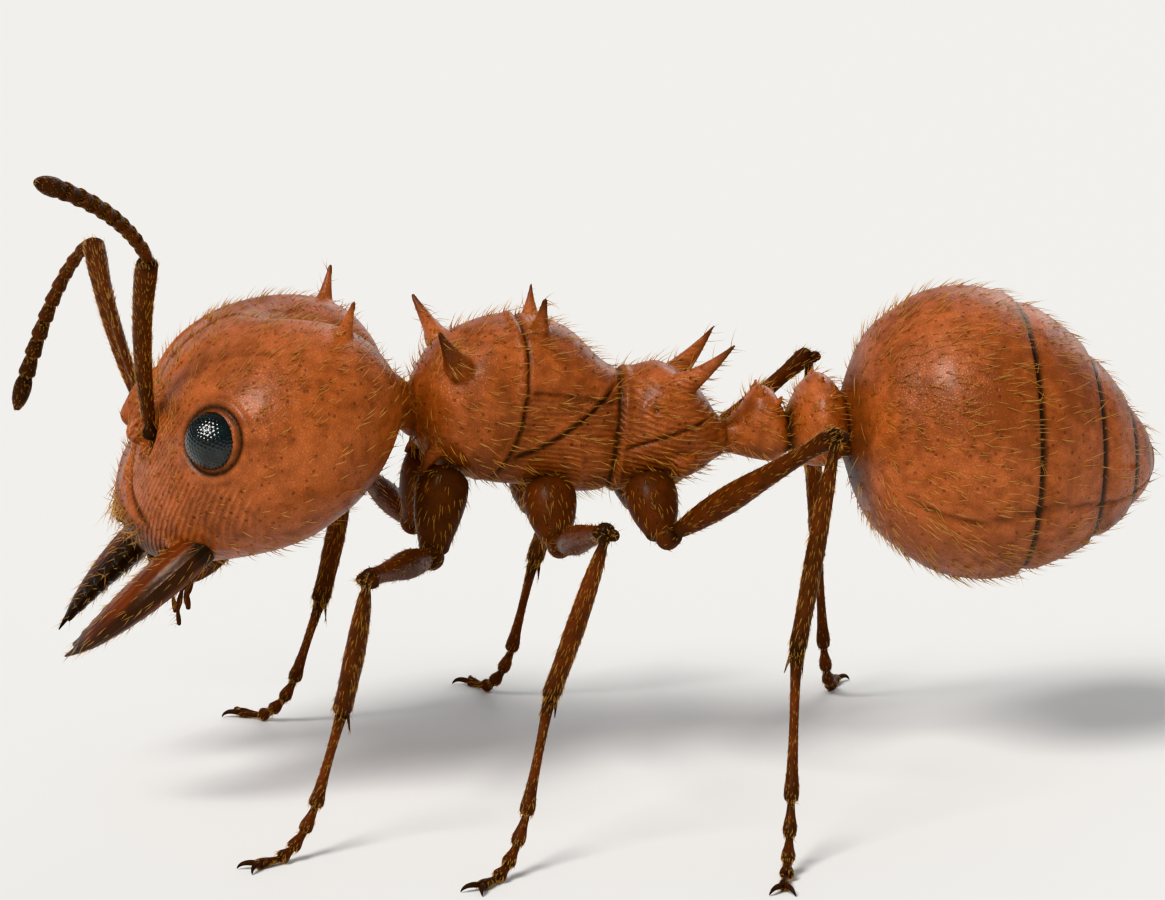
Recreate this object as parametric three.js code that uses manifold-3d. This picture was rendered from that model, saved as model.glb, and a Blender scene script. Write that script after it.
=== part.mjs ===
// A leafcutter ant (Atta), a large worker at life size, standing still on its six feet.
// Millimetres, +Z up. The head points along -X and the ant's left side is towards -Y. The floor is Z = 0, and
// the origin lies on it under the middle of the bounding box. An ant's outside is its skeleton: every node
// below is one plate, or one length of a leg or feeler, and it meets the next across a cut at a real joint.

import * as THREE from "three";
import { mergeVertices } from "three/addons/utils/BufferGeometryUtils.js";
import Module from "manifold-3d";

const wasm = await Module();
wasm.setup();

// ---- Driving dimensions ----
const CUT = 0.04; // clear space between two neighbouring pieces
const HEAD = { length: 4.0, width: 4.3, depth: 2.9, pitch: 35, centre: [-4.22, 0, 5.1], detail: 6 };
const SOLDIER = 1.15; // how much bigger a soldier's head, eyes and jaws are than the sizes given here
const EYE = { radius: 0.36, height: 0.27, at: [0.42, 1.74, 0.62] };
const MANDIBLE = { length: 1.95, thickness: 0.5, teeth: 8, opening: 13 };
const SCAPE = { length: 2.85, base: 0.25, tip: 0.27 };
const FUNICULUS = { length: 3.4, segments: 10, base: 0.25, tip: 0.28, shape: 0.035 };
const LIMB_RADIUS = 0.25; // the least radius of a leg
const SOLE_HEIGHT = 0.2; // from the floor up to the middle line of a foot that lies on it
const SPINE_TIP = 0.05;

const SIDES = { left: -1, right: 1 }; // the sign of Y

const cuticle = { color: 0xa4552b, roughness: 0.5, metalness: 0 };
const darkCuticle = { color: 0x6b3219, roughness: 0.5, metalness: 0 };
const limbCuticle = { color: 0x7d3d1f, roughness: 0.5, metalness: 0 };
const lens = { color: 0x2d3a38, roughness: 0.2, metalness: 0 };

// ---- Vectors and curves ----
const vec = (x, y, z) => new THREE.Vector3(x, y, z);
const { clamp, lerp, smoothstep, degToRad } = THREE.MathUtils;
const bell = (x, width) => Math.exp(-((x / width) ** 2));

// A smooth function through rows of [where, value, value, ...]. Each slope comes from the rows on both sides.
function through(rows) {
  const slope = (i, k) => {
    const before = rows[Math.max(i - 1, 0)];
    const after = rows[Math.min(i + 1, rows.length - 1)];
    return (after[k] - before[k]) / (after[0] - before[0]);
  };
  return (where) => {
    const next = rows.findIndex((row) => row[0] > where);
    const i = clamp((next < 0 ? rows.length : next) - 1, 0, rows.length - 2);
    const [start, end] = [rows[i], rows[i + 1]];
    const span = end[0] - start[0];
    const s = clamp((where - start[0]) / span, 0, 1);
    return start.slice(1).map((value, n) => {
      const k = n + 1;
      const rise = end[k] - value;
      const [enter, leave] = [slope(i, k) * span, slope(i + 1, k) * span];
      const bend = enter * (1 - s) ** 2 * s - leave * (1 - s) * s ** 2;
      return value + rise * (3 - 2 * s) * s ** 2 + bend;
    });
  };
}

// ---- Solids ----
// The same geometry on the other side of the body, with its faces still pointing out.
function mirrored(geometry) {
  const flipped = geometry.clone().scale(1, -1, 1);
  const order = Array.from({ length: flipped.attributes.position.count }, (_, i) => i);
  return flipped.setIndex((flipped.index ? Array.from(flipped.index.array) : order).reverse());
}

function solid(geometry) {
  const bare = geometry.clone();
  bare.deleteAttribute("normal");
  bare.deleteAttribute("uv");
  const merged = mergeVertices(bare, 1e-4);
  const made = new wasm.Mesh({
    numProp: 3,
    vertProperties: merged.attributes.position.array,
    triVerts: new Uint32Array(merged.index.array),
  });
  return new wasm.Manifold(made);
}

// What is left of a piece after the shapes round it are cut away, without any loose crumb.
function without(piece, ...cutters) {
  const rest = cutters.reduce((left, cutter) => left.subtract(cutter), piece);
  return rest.decompose().reduce((a, b) => (a.volume() > b.volume() ? a : b));
}

const joined = (...pieces) => pieces.reduce((sum, piece) => sum.add(piece));

function mesh(name, piece, finish) {
  const { vertProperties, triVerts } = piece.getMesh();
  const geometry = new THREE.BufferGeometry()
    .setAttribute("position", new THREE.BufferAttribute(vertProperties, 3))
    .setIndex(new THREE.BufferAttribute(triVerts, 1));
  geometry.computeVertexNormals();
  const made = new THREE.Mesh(geometry, new THREE.MeshStandardMaterial(finish));
  made.name = name;
  return made;
}

// A closed skin of rings from one end to the other: place(along, turn) gives the point at a share of the
// length and an angle round it. The first and last rings are at 0 and 1, and the end points just past them.
function skin(sides, rings, place) {
  const geometry = new THREE.SphereGeometry(1, sides, rings);
  const points = geometry.attributes.position;
  for (let i = 0; i < points.count; i++) {
    const unit = vec().fromBufferAttribute(points, i);
    const ring = Math.round((Math.acos(clamp(unit.y, -1, 1)) / Math.PI) * rings);
    const cap = ring === 0 ? -1 : ring === rings ? 1 : 0;
    const along = clamp((ring - 1) / (rings - 2), 0, 1);
    const { x, y, z } = place(along, Math.atan2(unit.z, unit.x), cap);
    points.setXYZ(i, x, y, z);
  }
  return solid(geometry);
}

// A round bar from one point to another. Its radius follows rows of [share of the length, radius], and rise
// lifts its middle along a direction, so that it bows. grow makes it fatter and longer all round.
function bar(from, to, radii, { sides = 8, rings = 8, rise = vec(0, 0, 0), grow = 0 } = {}) {
  const radius = through(radii);
  const axis = to.clone().sub(from).normalize();
  const turn = new THREE.Quaternion().setFromUnitVectors(vec(0, -1, 0), axis);
  return skin(sides, rings, (along, angle, cap) => {
    const [r] = radius(along);
    const middle = from.clone().lerp(to, along).addScaledVector(rise, 4 * along * (1 - along));
    if (cap) return middle.addScaledVector(axis, cap * (0.45 * r + grow));
    const out = vec(Math.cos(angle), 0, Math.sin(angle)).applyQuaternion(turn);
    return middle.addScaledVector(out, r + grow);
  });
}

// A curved thorn that stands on the point base and leans along a direction.
function thorn(base, direction, length, radius, bow = vec(0, 0, 0)) {
  const tip = base.clone().addScaledVector(direction.clone().normalize(), length);
  const radii = [[0, radius * 1.5], [0.3, radius], [0.65, radius * 0.55], [1, SPINE_TIP]];
  return bar(base, tip, radii, { sides: 6, rings: 5, rise: bow });
}

// A body plate that runs along X. Its rows are [x, top, bottom, half width].
function plate(rows, { sides = 24, rings = 16, square = 2, grow = 0 } = {}) {
  const outline = through(rows);
  const [first, last] = [rows[0][0], rows[rows.length - 1][0]];
  const round = (value) => Math.sign(value) * Math.abs(value) ** (2 / square);
  return skin(sides, rings, (along, angle, cap) => {
    const x = lerp(first, last, along);
    const [top, bottom, half] = outline(x);
    const middle = (top + bottom) / 2;
    if (cap) return vec(x + cap * (0.35 * half + grow), 0, middle);
    const y = (half + grow) * round(Math.cos(angle));
    const z = middle + ((top - bottom) / 2 + grow) * round(Math.sin(angle));
    return vec(x, y, z);
  });
}

// ---- Head: a heart-shaped capsule, hung nose-down from the neck ----
// Its own axes run forward to the jaws, out to the left, and up through the face.
const pitch = degToRad(HEAD.pitch);
const headFrame = new THREE.Matrix4()
  .makeBasis(
    vec(-Math.cos(pitch), 0, -Math.sin(pitch)),
    vec(0, -1, 0),
    vec(-Math.sin(pitch), 0, Math.cos(pitch)),
  )
  .scale(vec(SOLDIER, SOLDIER, SOLDIER))
  .setPosition(...HEAD.centre);
const onHead = (forward, left, up) => vec(forward, left, up).applyMatrix4(headFrame);
const headDirection = (forward, left, up) => vec(forward, left, up).transformDirection(headFrame);

// The capsule's surface in the head's own axes, for a unit vector.
function headPoint(unit, grow = 0) {
  const fullness = 2.35; // 2 is an ellipsoid, more is boxier
  const norm = ["x", "y", "z"].reduce((sum, k) => sum + Math.abs(unit[k]) ** fullness, 0);
  const { x: t, y: side, z: face } = unit.clone().multiplyScalar(norm ** (-1 / fullness));
  const [front, back] = [smoothstep(t, 0, 1), smoothstep(-t, 0.1, 1)];
  const left = side * (HEAD.width / 2 + grow) * (1 - 0.25 * front - 0.1 * back);
  const notch = 0.75 * back * bell(left, 0.7);
  const depth = (HEAD.depth / 2 + grow) * (1 - 0.34 * front - 0.12 * back);
  const up = face * depth * (face < 0 ? 0.88 : 1) - 0.1 * front;
  return vec(t * (HEAD.length / 2 + grow) + notch, left, up);
}

function headCapsule(grow = 0) {
  const geometry = new THREE.IcosahedronGeometry(1, HEAD.detail);
  const points = geometry.attributes.position;
  for (let i = 0; i < points.count; i++) {
    const unit = vec().fromBufferAttribute(points, i).normalize();
    const { x, y, z } = headPoint(unit, grow);
    points.setXYZ(i, x, y, z);
  }
  return solid(geometry.applyMatrix4(headFrame));
}

const headCutter = headCapsule(CUT);

function eyeBall(side, grow = 0) {
  const [forward, out, up] = EYE.at;
  const geometry = new THREE.SphereGeometry(1, 11, 6);
  geometry.scale(EYE.radius + grow, EYE.height + grow, EYE.radius + grow);
  geometry.rotateX(degToRad(22)).translate(forward, out, up).applyMatrix4(headFrame);
  return side > 0 ? solid(mirrored(geometry)) : solid(geometry);
}

function head() {
  const lobeRadii = [[0, 0.14], [0.5, 0.27], [1, 0.14]];
  const lobes = Object.values(SIDES).map((side) =>
    bar(onHead(0.35, 0.36 * side, 1.2), onHead(1.25, 0.55 * side, 0.98), lobeRadii, { sides: 8, rings: 6 }),
  );
  const thorns = Object.values(SIDES).map((side) =>
    thorn(onHead(-1.5, 1.12 * side, 0.62), headDirection(-0.7, 0.35 * side, 0.62), 0.56, 0.14),
  );
  const sockets = Object.values(SIDES).map((side) => eyeBall(side, CUT));
  return without(joined(headCapsule(), ...lobes, ...thorns), ...sockets);
}

// A jaw blade: a curved outer edge, a row of teeth along the biting edge, and a broad root.
function mandible(side) {
  const { length, thickness, teeth, opening } = MANDIBLE;
  const [rootIn, tip] = [[0.62, 0.18], [length, 0.96]];
  const outline = new THREE.Shape();
  outline.moveTo(0, -0.3);
  outline.bezierCurveTo(0.7, -0.42, 1.7, -0.25, ...tip);
  for (let tooth = 0; tooth < teeth; tooth++) {
    const [share, next] = [(tooth + 0.45) / teeth, (tooth + 1) / teeth];
    const [x, y] = [(s) => lerp(tip[0], rootIn[0], s), (s) => lerp(tip[1], rootIn[1] + 0.42, s)];
    const bite = tooth === 0 ? 0.16 : 0.09;
    outline.lineTo(x(share) - 0.4 * bite, y(share) - bite);
    outline.lineTo(x(next), y(next));
  }
  outline.lineTo(0, 0.42);
  const geometry = new THREE.ExtrudeGeometry(outline, {
    depth: thickness / 2,
    bevelThickness: thickness / 4,
    bevelSize: 0.05,
    bevelSegments: 1,
    curveSegments: 8,
  });
  geometry.translate(0, 0, -thickness / 4);
  const points = geometry.attributes.position;
  for (let i = 0; i < points.count; i++) {
    const [x, z] = [points.getX(i), points.getZ(i)];
    points.setZ(i, z * (1 - 0.3 * smoothstep(x, 0.6, length)) - 0.06 * x ** 2);
  }
  const left = mirrored(geometry).rotateZ(degToRad(opening)).translate(1.3, 1.12, -0.42);
  left.applyMatrix4(headFrame);
  return without(solid(side > 0 ? mirrored(left) : left), headCutter);
}

function mouthparts() {
  const piece = bar(onHead(1.05, 0, -0.72), onHead(1.95, 0, -0.86), [[0, 0.34], [0.6, 0.41], [1, 0.28]], {
    sides: 10,
    rings: 6,
  });
  return without(piece, headCutter);
}

// ---- Feelers: a long first joint, the scape, then a whip of ten short joints, parted at its middle ----
const FEELERS = {
  left: { elbow: [-5.85, -1.9, 7.5], middle: [-6.2, -3.1, 8.6], tip: [-7.1, -4.1, 9.0] },
  right: { elbow: [-6.2, 2.45, 6.95], middle: [-6.75, 3.6, 6.9], tip: [-7.3, 4.25, 4.75] },
};

function feeler(name) {
  const side = SIDES[name];
  const { elbow, middle, tip } = FEELERS[name];
  const socket = onHead(1.02, -0.74 * side, 0.9);
  const reach = vec(...elbow).sub(socket).setLength(SCAPE.length);
  const knee = socket.clone().add(reach);
  const radii = [[0, 0.22], [0.12, SCAPE.base], [0.8, SCAPE.tip], [1, SCAPE.base]];
  const bow = vec(-0.1, 0, 0.08);
  const scape = (grow) => bar(socket, knee, radii, { rise: bow, grow });
  const shape = new THREE.QuadraticBezierCurve3(knee, vec(...middle), vec(...tip));
  const stretch = FUNICULUS.length / shape.getLength();
  const reached = (point) => point.clone().sub(knee).multiplyScalar(stretch).add(knee);
  const whip = new THREE.QuadraticBezierCurve3(knee, reached(shape.v1), reached(shape.v2));
  const half = (start, end) => {
    const count = FUNICULUS.segments / 2;
    return skin(7, 2 * count + 3, (along, angle, cap) => {
      const share = lerp(start, end, along);
      const middleLine = whip.getPointAt(share);
      const axis = whip.getTangentAt(share);
      const swell = Math.abs(Math.sin(along * count * Math.PI)) * FUNICULUS.shape;
      const radius = lerp(FUNICULUS.base, FUNICULUS.tip, share) + swell - FUNICULUS.shape / 2;
      if (cap) return middleLine.addScaledVector(axis, cap * 0.12);
      const turn = new THREE.Quaternion().setFromUnitVectors(vec(0, -1, 0), axis);
      const out = vec(Math.cos(angle), 0, Math.sin(angle)).applyQuaternion(turn);
      return middleLine.addScaledVector(out, radius);
    });
  };
  const [near, far] = [half(0.04, 0.47), half(0.53, 0.97)];
  return [
    mesh(`antenna_${name}_scape`, without(scape(0), headCutter), limbCuticle),
    mesh(`antenna_${name}_funiculus_1`, without(near, scape(CUT)), limbCuticle),
    mesh(`antenna_${name}_funiculus_2`, far, darkCuticle),
  ];
}

// ---- Trunk: prothorax, mesothorax and propodeum, with four pairs of spines ----
const TRUNK = [
  [-2.5, 5.58, 5.14, 0.24],
  [-2.28, 5.72, 4.98, 0.38],
  [-1.98, 6.14, 4.66, 0.86],
  [-1.4, 6.52, 4.38, 1.14],
  [-0.65, 6.64, 4.22, 0.98],
  [0.0, 6.4, 4.12, 0.82],
  [0.5, 5.94, 4.1, 0.72],
  [0.8, 5.86, 4.12, 0.72],
  [1.3, 5.92, 4.2, 0.78],
  [1.72, 5.6, 4.32, 0.68],
  [2.02, 5.16, 4.5, 0.42],
];
const trunkShape = { sides: 16, rings: 17, square: 2.2 };
const trunkCutter = plate(TRUNK, { ...trunkShape, grow: CUT });

function trunkSpines() {
  return Object.values(SIDES).flatMap((side) => [
    thorn(
      vec(-1.62, 0.86 * side, 6.08),
      vec(-0.42, 0.72 * side, 0.72),
      0.98,
      0.17,
      vec(0, 0.04 * side, -0.03),
    ),
    thorn(vec(-0.5, 0.42 * side, 6.42), vec(0.1, 0.42 * side, 0.9), 0.62, 0.13),
    thorn(vec(1.42, 0.38 * side, 5.62), vec(0.72, 0.4 * side, 0.66), 1.08, 0.16, vec(0, 0, -0.05)),
    thorn(vec(-1.95, 0.66 * side, 4.86), vec(-0.55, 0.42 * side, -0.72), 0.46, 0.12),
  ]);
}

function trunk() {
  const whole = without(joined(plate(TRUNK, trunkShape), ...trunkSpines()), headCutter);
  const split = (piece, x, z, lean) => {
    const normal = vec(Math.cos(degToRad(lean)), 0, -Math.sin(degToRad(lean)));
    const level = normal.dot(vec(x, 0, z));
    const behind = piece.trimByPlane(normal.toArray(), level + CUT / 2);
    const ahead = piece.trimByPlane(normal.clone().negate().toArray(), -level + CUT / 2);
    return [ahead, behind];
  };
  const [prothorax, rest] = split(whole, -1.05, 5.4, 14);
  const [mesothorax, propodeum] = split(rest, 0.6, 5, 10);
  return [
    mesh("prothorax", prothorax, cuticle),
    mesh("mesothorax", mesothorax, cuticle),
    mesh("propodeum", propodeum, cuticle),
  ];
}

// ---- Waist: two knots, the petiole and the broader postpetiole ----
const PETIOLE = [
  [2.0, 5.04, 4.62, 0.24],
  [2.28, 5.16, 4.54, 0.3],
  [2.58, 5.54, 4.46, 0.44],
  [2.84, 5.44, 4.44, 0.46],
  [3.02, 5.1, 4.56, 0.32],
];
const POSTPETIOLE = [
  [3.0, 5.12, 4.58, 0.36],
  [3.22, 5.54, 4.4, 0.62],
  [3.48, 5.7, 4.34, 0.76],
  [3.72, 5.5, 4.42, 0.6],
  [3.84, 5.3, 4.52, 0.44],
];
const waistShape = { sides: 12, rings: 8 };
const petioleCutter = plate(PETIOLE, { ...waistShape, grow: CUT });
const postpetioleCutter = plate(POSTPETIOLE, { ...waistShape, grow: CUT });

// ---- Gaster: a smooth egg, parted where each back plate ends ----
const GASTER = [
  [3.8, 5.4, 4.52, 0.42],
  [4.05, 5.98, 3.8, 1.08],
  [4.66, 6.6, 3.08, 1.7],
  [5.5, 6.84, 2.7, 1.98],
  [6.44, 6.56, 2.8, 1.82],
  [7.32, 5.86, 3.18, 1.32],
  [7.92, 5.08, 3.62, 0.7],
  [8.18, 4.66, 3.94, 0.3],
];
const GASTER_PLATE_ENDS = [6.2, 7.2, 7.8];

function gaster() {
  let rest = without(plate(GASTER, { sides: 20, rings: 16 }), postpetioleCutter);
  const plates = GASTER_PLATE_ENDS.map((end) => {
    const ahead = rest.trimByPlane([-1, 0, 0], -end + CUT / 2);
    rest = rest.trimByPlane([1, 0, 0], end + CUT / 2);
    return ahead;
  });
  return [...plates, rest].map((piece, i) => mesh(`gaster_${i + 1}`, piece, cuticle));
}

// ---- Legs ----
// hip is the coxa's root and knuckle its tip. spans are the femur, the tibia and the first tarsal joint, and
// toes the four joints after it. Each foot is where its claws touch the floor.
const LEGS = {
  fore: {
    hip: [-1.78, 0.62, 4.66],
    knuckle: [-2.02, 1.0, 3.5],
    spans: { femur: 2.8, tibia: 2.1, basitarsus: 1.2 },
    toes: [0.34, 0.27, 0.2, 0.38],
    feet: { left: [-4.7, -3.55], right: [-4.25, 4.1] },
  },
  mid: {
    hip: [-0.38, 0.52, 4.4],
    knuckle: [-0.34, 1.14, 3.62],
    spans: { femur: 3.0, tibia: 2.4, basitarsus: 1.45 },
    toes: [0.4, 0.31, 0.23, 0.4],
    feet: { left: [-1.95, -4.95], right: [-0.7, 5.35] },
  },
  hind: {
    hip: [0.98, 0.48, 4.4],
    knuckle: [1.1, 1.1, 3.64],
    spans: { femur: 3.45, tibia: 2.95, basitarsus: 1.85 },
    toes: [0.46, 0.36, 0.27, 0.44],
    feet: { left: [1.9, -5.6], right: [4.75, 4.65] },
  },
};
const TARSUS_SLOPES = [68, 56, 42, 24, 0]; // how steeply the five tarsal joints go down, in degrees
const KNEE_LEAN = 0.32; // how far a knee swings backwards for each unit that it rises
const TOE_TURN = 0.45; // how far the feet turn forwards, for each unit that they point out from the hip

// The knee of a two-bone chain, which bends upwards and a little backwards.
function kneeBetween(hip, ankle, femur, tibia) {
  const line = ankle.clone().sub(hip);
  const span = line.length();
  const axis = line.normalize();
  const along = (femur ** 2 - tibia ** 2 + span ** 2) / (2 * span);
  const bend = vec(KNEE_LEAN, 0, 1);
  const lift = bend.addScaledVector(axis, -bend.dot(axis)).normalize();
  return hip.clone().addScaledVector(axis, along).addScaledVector(lift, Math.sqrt(femur ** 2 - along ** 2));
}

// The middle line of a leg, from the hip to the claws.
function legJoints(leg, side) {
  const { hip, knuckle, spans, toes, feet } = LEGS[leg];
  const onSide = ([x, y, z]) => vec(x, y * SIDES[side], z);
  const root = onSide(knuckle);
  const claws = vec(...feet[side], SOLE_HEIGHT);
  const outwards = claws.clone().sub(root).setZ(0).normalize().add(vec(-TOE_TURN, 0, 0)).normalize();
  const tarsus = [claws];
  [spans.basitarsus, ...toes].reverse().forEach((length, i) => {
    const slope = degToRad(TARSUS_SLOPES[TARSUS_SLOPES.length - 1 - i]);
    const step = outwards.clone().multiplyScalar(-Math.cos(slope) * length);
    tarsus.unshift(tarsus[0].clone().add(step.setZ(Math.sin(slope) * length)));
  });
  const knee = kneeBetween(root, tarsus[0], spans.femur, spans.tibia);
  return { hip: onSide(hip), root, knee, tarsus, outwards };
}

function leg(name, side) {
  const { hip, root, knee, tarsus, outwards } = legJoints(name, side);
  const [ankle, heel] = tarsus;
  const thin = LIMB_RADIUS;
  const coxaRadii = [[0, 0.42], [0.3, 0.42], [1, 0.26]];
  const femurRadii = [[0, 0.25], [0.1, 0.25], [0.38, 0.31], [0.75, 0.27], [1, 0.26]];
  const tibiaRadii = [[0, thin], [0.6, 0.26], [1, 0.26]];
  const tarsusRadii = [[0, thin], [1, thin]];
  const coxa = (grow) => bar(hip, root, coxaRadii, { sides: 7, rings: 5, grow });
  const femur = (grow) => bar(root, knee, femurRadii, { sides: 7, rings: 6, grow });
  const tibia = (grow) => bar(knee, ankle, tibiaRadii, { sides: 7, rings: 5, grow });
  const basitarsus = (grow) => bar(ankle, heel, tarsusRadii, { sides: 7, rings: 4, grow });
  const floor = [0, 0, 1];
  const line = new THREE.CatmullRomCurve3(tarsus.slice(1));
  const foot = skin(7, 7, (along, angle, cap) => {
    const middle = line.getPointAt(along);
    const axis = line.getTangentAt(along);
    if (cap) return middle.addScaledVector(axis, cap * 0.14);
    const across = vec(0, 0, 1).cross(outwards);
    const up = axis.clone().cross(across).normalize();
    return middle
      .addScaledVector(across, thin * Math.cos(angle))
      .addScaledVector(up, thin * Math.sin(angle));
  }).trimByPlane(floor, 0);
  const part = (piece) => `leg_${name}_${side}_${piece}`;
  return [
    mesh(part("coxa"), without(coxa(0), trunkCutter), limbCuticle),
    mesh(part("femur"), without(femur(0), coxa(CUT), trunkCutter), limbCuticle),
    mesh(part("tibia"), without(tibia(0), femur(CUT)), limbCuticle),
    mesh(part("basitarsus"), without(basitarsus(0), tibia(CUT)), limbCuticle),
    mesh(part("tarsus"), without(foot, basitarsus(CUT)), darkCuticle),
  ];
}

// ---- The whole ant ----
const ant = new THREE.Group();
ant.add(mesh("head", head(), cuticle));
for (const [name, side] of Object.entries(SIDES)) {
  ant.add(mesh(`eye_${name}`, eyeBall(side), lens));
  ant.add(mesh(`mandible_${name}`, mandible(side), darkCuticle));
  ant.add(...feeler(name));
  for (const pair of Object.keys(LEGS)) ant.add(...leg(pair, name));
}
ant.add(mesh("mouthparts", mouthparts(), darkCuticle));
ant.add(...trunk());
ant.add(mesh("petiole", without(plate(PETIOLE, waistShape), trunkCutter), cuticle));
ant.add(mesh("postpetiole", without(plate(POSTPETIOLE, waistShape), petioleCutter), cuticle));
ant.add(...gaster());

const middle = new THREE.Box3().setFromObject(ant).getCenter(vec());
ant.position.set(-middle.x, -middle.y, 0);
const figure = new THREE.Group();
figure.add(ant);

export default figure;
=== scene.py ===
"""A leafcutter ant, a large worker of the genus Atta, at life size and standing still.

Shapes are modelled in millimetres in the ant's own frame: its midline is y = 0, the head points along -X, the
left side is towards -Y and the floor is z = 0. Each finished mesh is then brought to metres, in its place in
the CAD frame.
"""

import math

import bmesh
import bpy
import numpy as np
from mathutils import Matrix, Vector


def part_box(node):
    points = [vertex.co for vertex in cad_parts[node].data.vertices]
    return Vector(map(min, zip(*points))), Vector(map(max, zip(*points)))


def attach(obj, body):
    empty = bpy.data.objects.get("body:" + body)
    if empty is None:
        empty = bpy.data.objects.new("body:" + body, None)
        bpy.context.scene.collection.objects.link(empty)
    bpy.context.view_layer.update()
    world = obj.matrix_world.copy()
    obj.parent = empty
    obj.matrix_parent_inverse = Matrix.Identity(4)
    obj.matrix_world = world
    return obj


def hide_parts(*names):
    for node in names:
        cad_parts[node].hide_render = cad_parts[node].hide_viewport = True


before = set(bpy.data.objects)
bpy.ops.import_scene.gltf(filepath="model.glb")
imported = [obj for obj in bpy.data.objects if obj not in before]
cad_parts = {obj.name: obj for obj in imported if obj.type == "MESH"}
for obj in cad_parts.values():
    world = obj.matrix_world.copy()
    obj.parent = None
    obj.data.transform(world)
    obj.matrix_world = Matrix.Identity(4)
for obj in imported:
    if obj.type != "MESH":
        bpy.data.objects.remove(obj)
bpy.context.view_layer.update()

# ---- Camera, floor and lamps ----
# The ant stands on a matt white table in a white room. A broad lamp hangs at the upper left, in front, and a
# weaker one behind it. The camera is at the ant's left side, a little ahead of it and above it.
MM = 0.001
AZIMUTH, ELEVATION = math.radians(-9), math.radians(12)
DISTANCE = 66.4 * MM
AIM = Vector((-0.2, 0, 4.72)) * MM
LENS, SENSOR = 150, 36
NEAREST, FARTHEST = 1 * MM, 10
TABLE = 3.0
WALL_LIGHT, CEILING_LIGHT = 0.8, 0.38

camera = bpy.data.objects.new("camera", bpy.data.cameras.new("camera"))
camera.data.lens, camera.data.sensor_width = LENS, SENSOR
camera.data.clip_start, camera.data.clip_end = NEAREST, FARTHEST
back = Vector((math.sin(AZIMUTH), -math.cos(AZIMUTH), 0)) * math.cos(ELEVATION)
back.z = math.sin(ELEVATION)
camera.location = AIM + back * DISTANCE
camera.rotation_euler = back.to_track_quat("Z", "Y").to_euler()
bpy.context.collection.objects.link(camera)
bpy.context.scene.camera = camera


def lamp(name, place, strength, softness, colour):
    """A soft distant lamp that shines from a place towards the ant. It looks softness degrees wide."""
    light = bpy.data.lights.new(name, "SUN")
    light.angle = math.radians(softness)
    light.energy, light.color = strength, colour
    holder = bpy.data.objects.new(name, light)
    holder.location = Vector(place) * MM
    holder.rotation_euler = holder.location.to_track_quat("Z", "Y").to_euler()
    bpy.context.collection.objects.link(holder)


lamp("key_lamp", (-75, -70, 115), strength=3.1, softness=24, colour=(1.0, 0.97, 0.93))
lamp("rim_lamp", (70, 110, 70), strength=0.8, softness=40, colour=(1.0, 0.99, 0.97))


class Wire:
    """A socket in a finish. Sums on wires add Math nodes, so that a pattern reads as a formula."""

    def __init__(self, tree, socket=None):
        self.tree, self.socket = tree, socket

    def node(self, kind, inputs=(), output=0, **settings):
        """Adds a node: its settings first, then its sockets' values or links. It hands back one output."""
        made = self.tree.nodes.new("ShaderNode" + kind)
        for name, value in settings.items():
            setattr(made, name, value)
        for name, value in dict(inputs).items():
            if isinstance(value, Wire):
                self.tree.links.new(value.socket, made.inputs[name])
            else:
                made.inputs[name].default_value = value
        return Wire(self.tree, made.outputs[output] if made.outputs else None)

    def maths(self, operation, first, second=0.0):
        return self.node("Math", {0: first, 1: second}, operation=operation)

    def __add__(self, other):
        return self.maths("ADD", self, other)

    def __radd__(self, other):
        return self.maths("ADD", other, self)

    def __sub__(self, other):
        return self.maths("SUBTRACT", self, other)

    def __rsub__(self, other):
        return self.maths("SUBTRACT", other, self)

    def __mul__(self, other):
        return self.maths("MULTIPLY", self, other)

    def __rmul__(self, other):
        return self.maths("MULTIPLY", other, self)

    def sine(self):
        return self.maths("SINE", self)

    def between(self, low, high):
        """This wire spread so that low becomes 0 and high becomes 1, and no further."""
        return self.node("MapRange", {0: self, 1: low, 2: high}, interpolation_type="SMOOTHSTEP")

    def blend(self, off, on):
        """A colour between two, by this wire."""
        return self.node("Mix", {0: self, 6: off, 7: on}, output=2, data_type="RGBA", clamp_factor=True)


bpy.context.scene.view_settings.view_transform = "Khronos PBR Neutral"
world = bpy.data.worlds.new("studio")
bpy.context.scene.world = world
world.use_nodes = True
world.node_tree.nodes.clear()
studio = Wire(world.node_tree)
height = studio.node("SeparateXYZ", {"Vector": studio.node("TexCoord")}, output=2)
fade = {"Value": height, "From Min": 0.1, "From Max": 0.3, "To Min": WALL_LIGHT, "To Max": CEILING_LIGHT}
strength = studio.node("MapRange", fade, interpolation_type="SMOOTHSTEP")
room = studio.node("Background", {"Color": (0.96, 0.98, 1.0, 1), "Strength": strength})
studio.node("OutputWorld", {"Surface": room})


def meshed(bm, name="shape"):
    """The mesh of a finished bmesh."""
    mesh = bpy.data.meshes.new(name)
    bm.to_mesh(mesh)
    bm.free()
    return mesh


bm = bmesh.new()
bmesh.ops.create_grid(bm, x_segments=1, y_segments=1, size=TABLE / 2)
table = bpy.data.objects.new("table", meshed(bm, "table"))
bpy.context.collection.objects.link(table)
white = bpy.data.materials.new("matt_white")
white.use_nodes = True
matt = {"Base Color": (0.86, 0.86, 0.85, 1), "Roughness": 0.9, "Specular IOR Level": 0.1}
for socket, value in matt.items():
    white.node_tree.nodes["Principled BSDF"].inputs[socket].default_value = value
table.data.materials.append(white)


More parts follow.
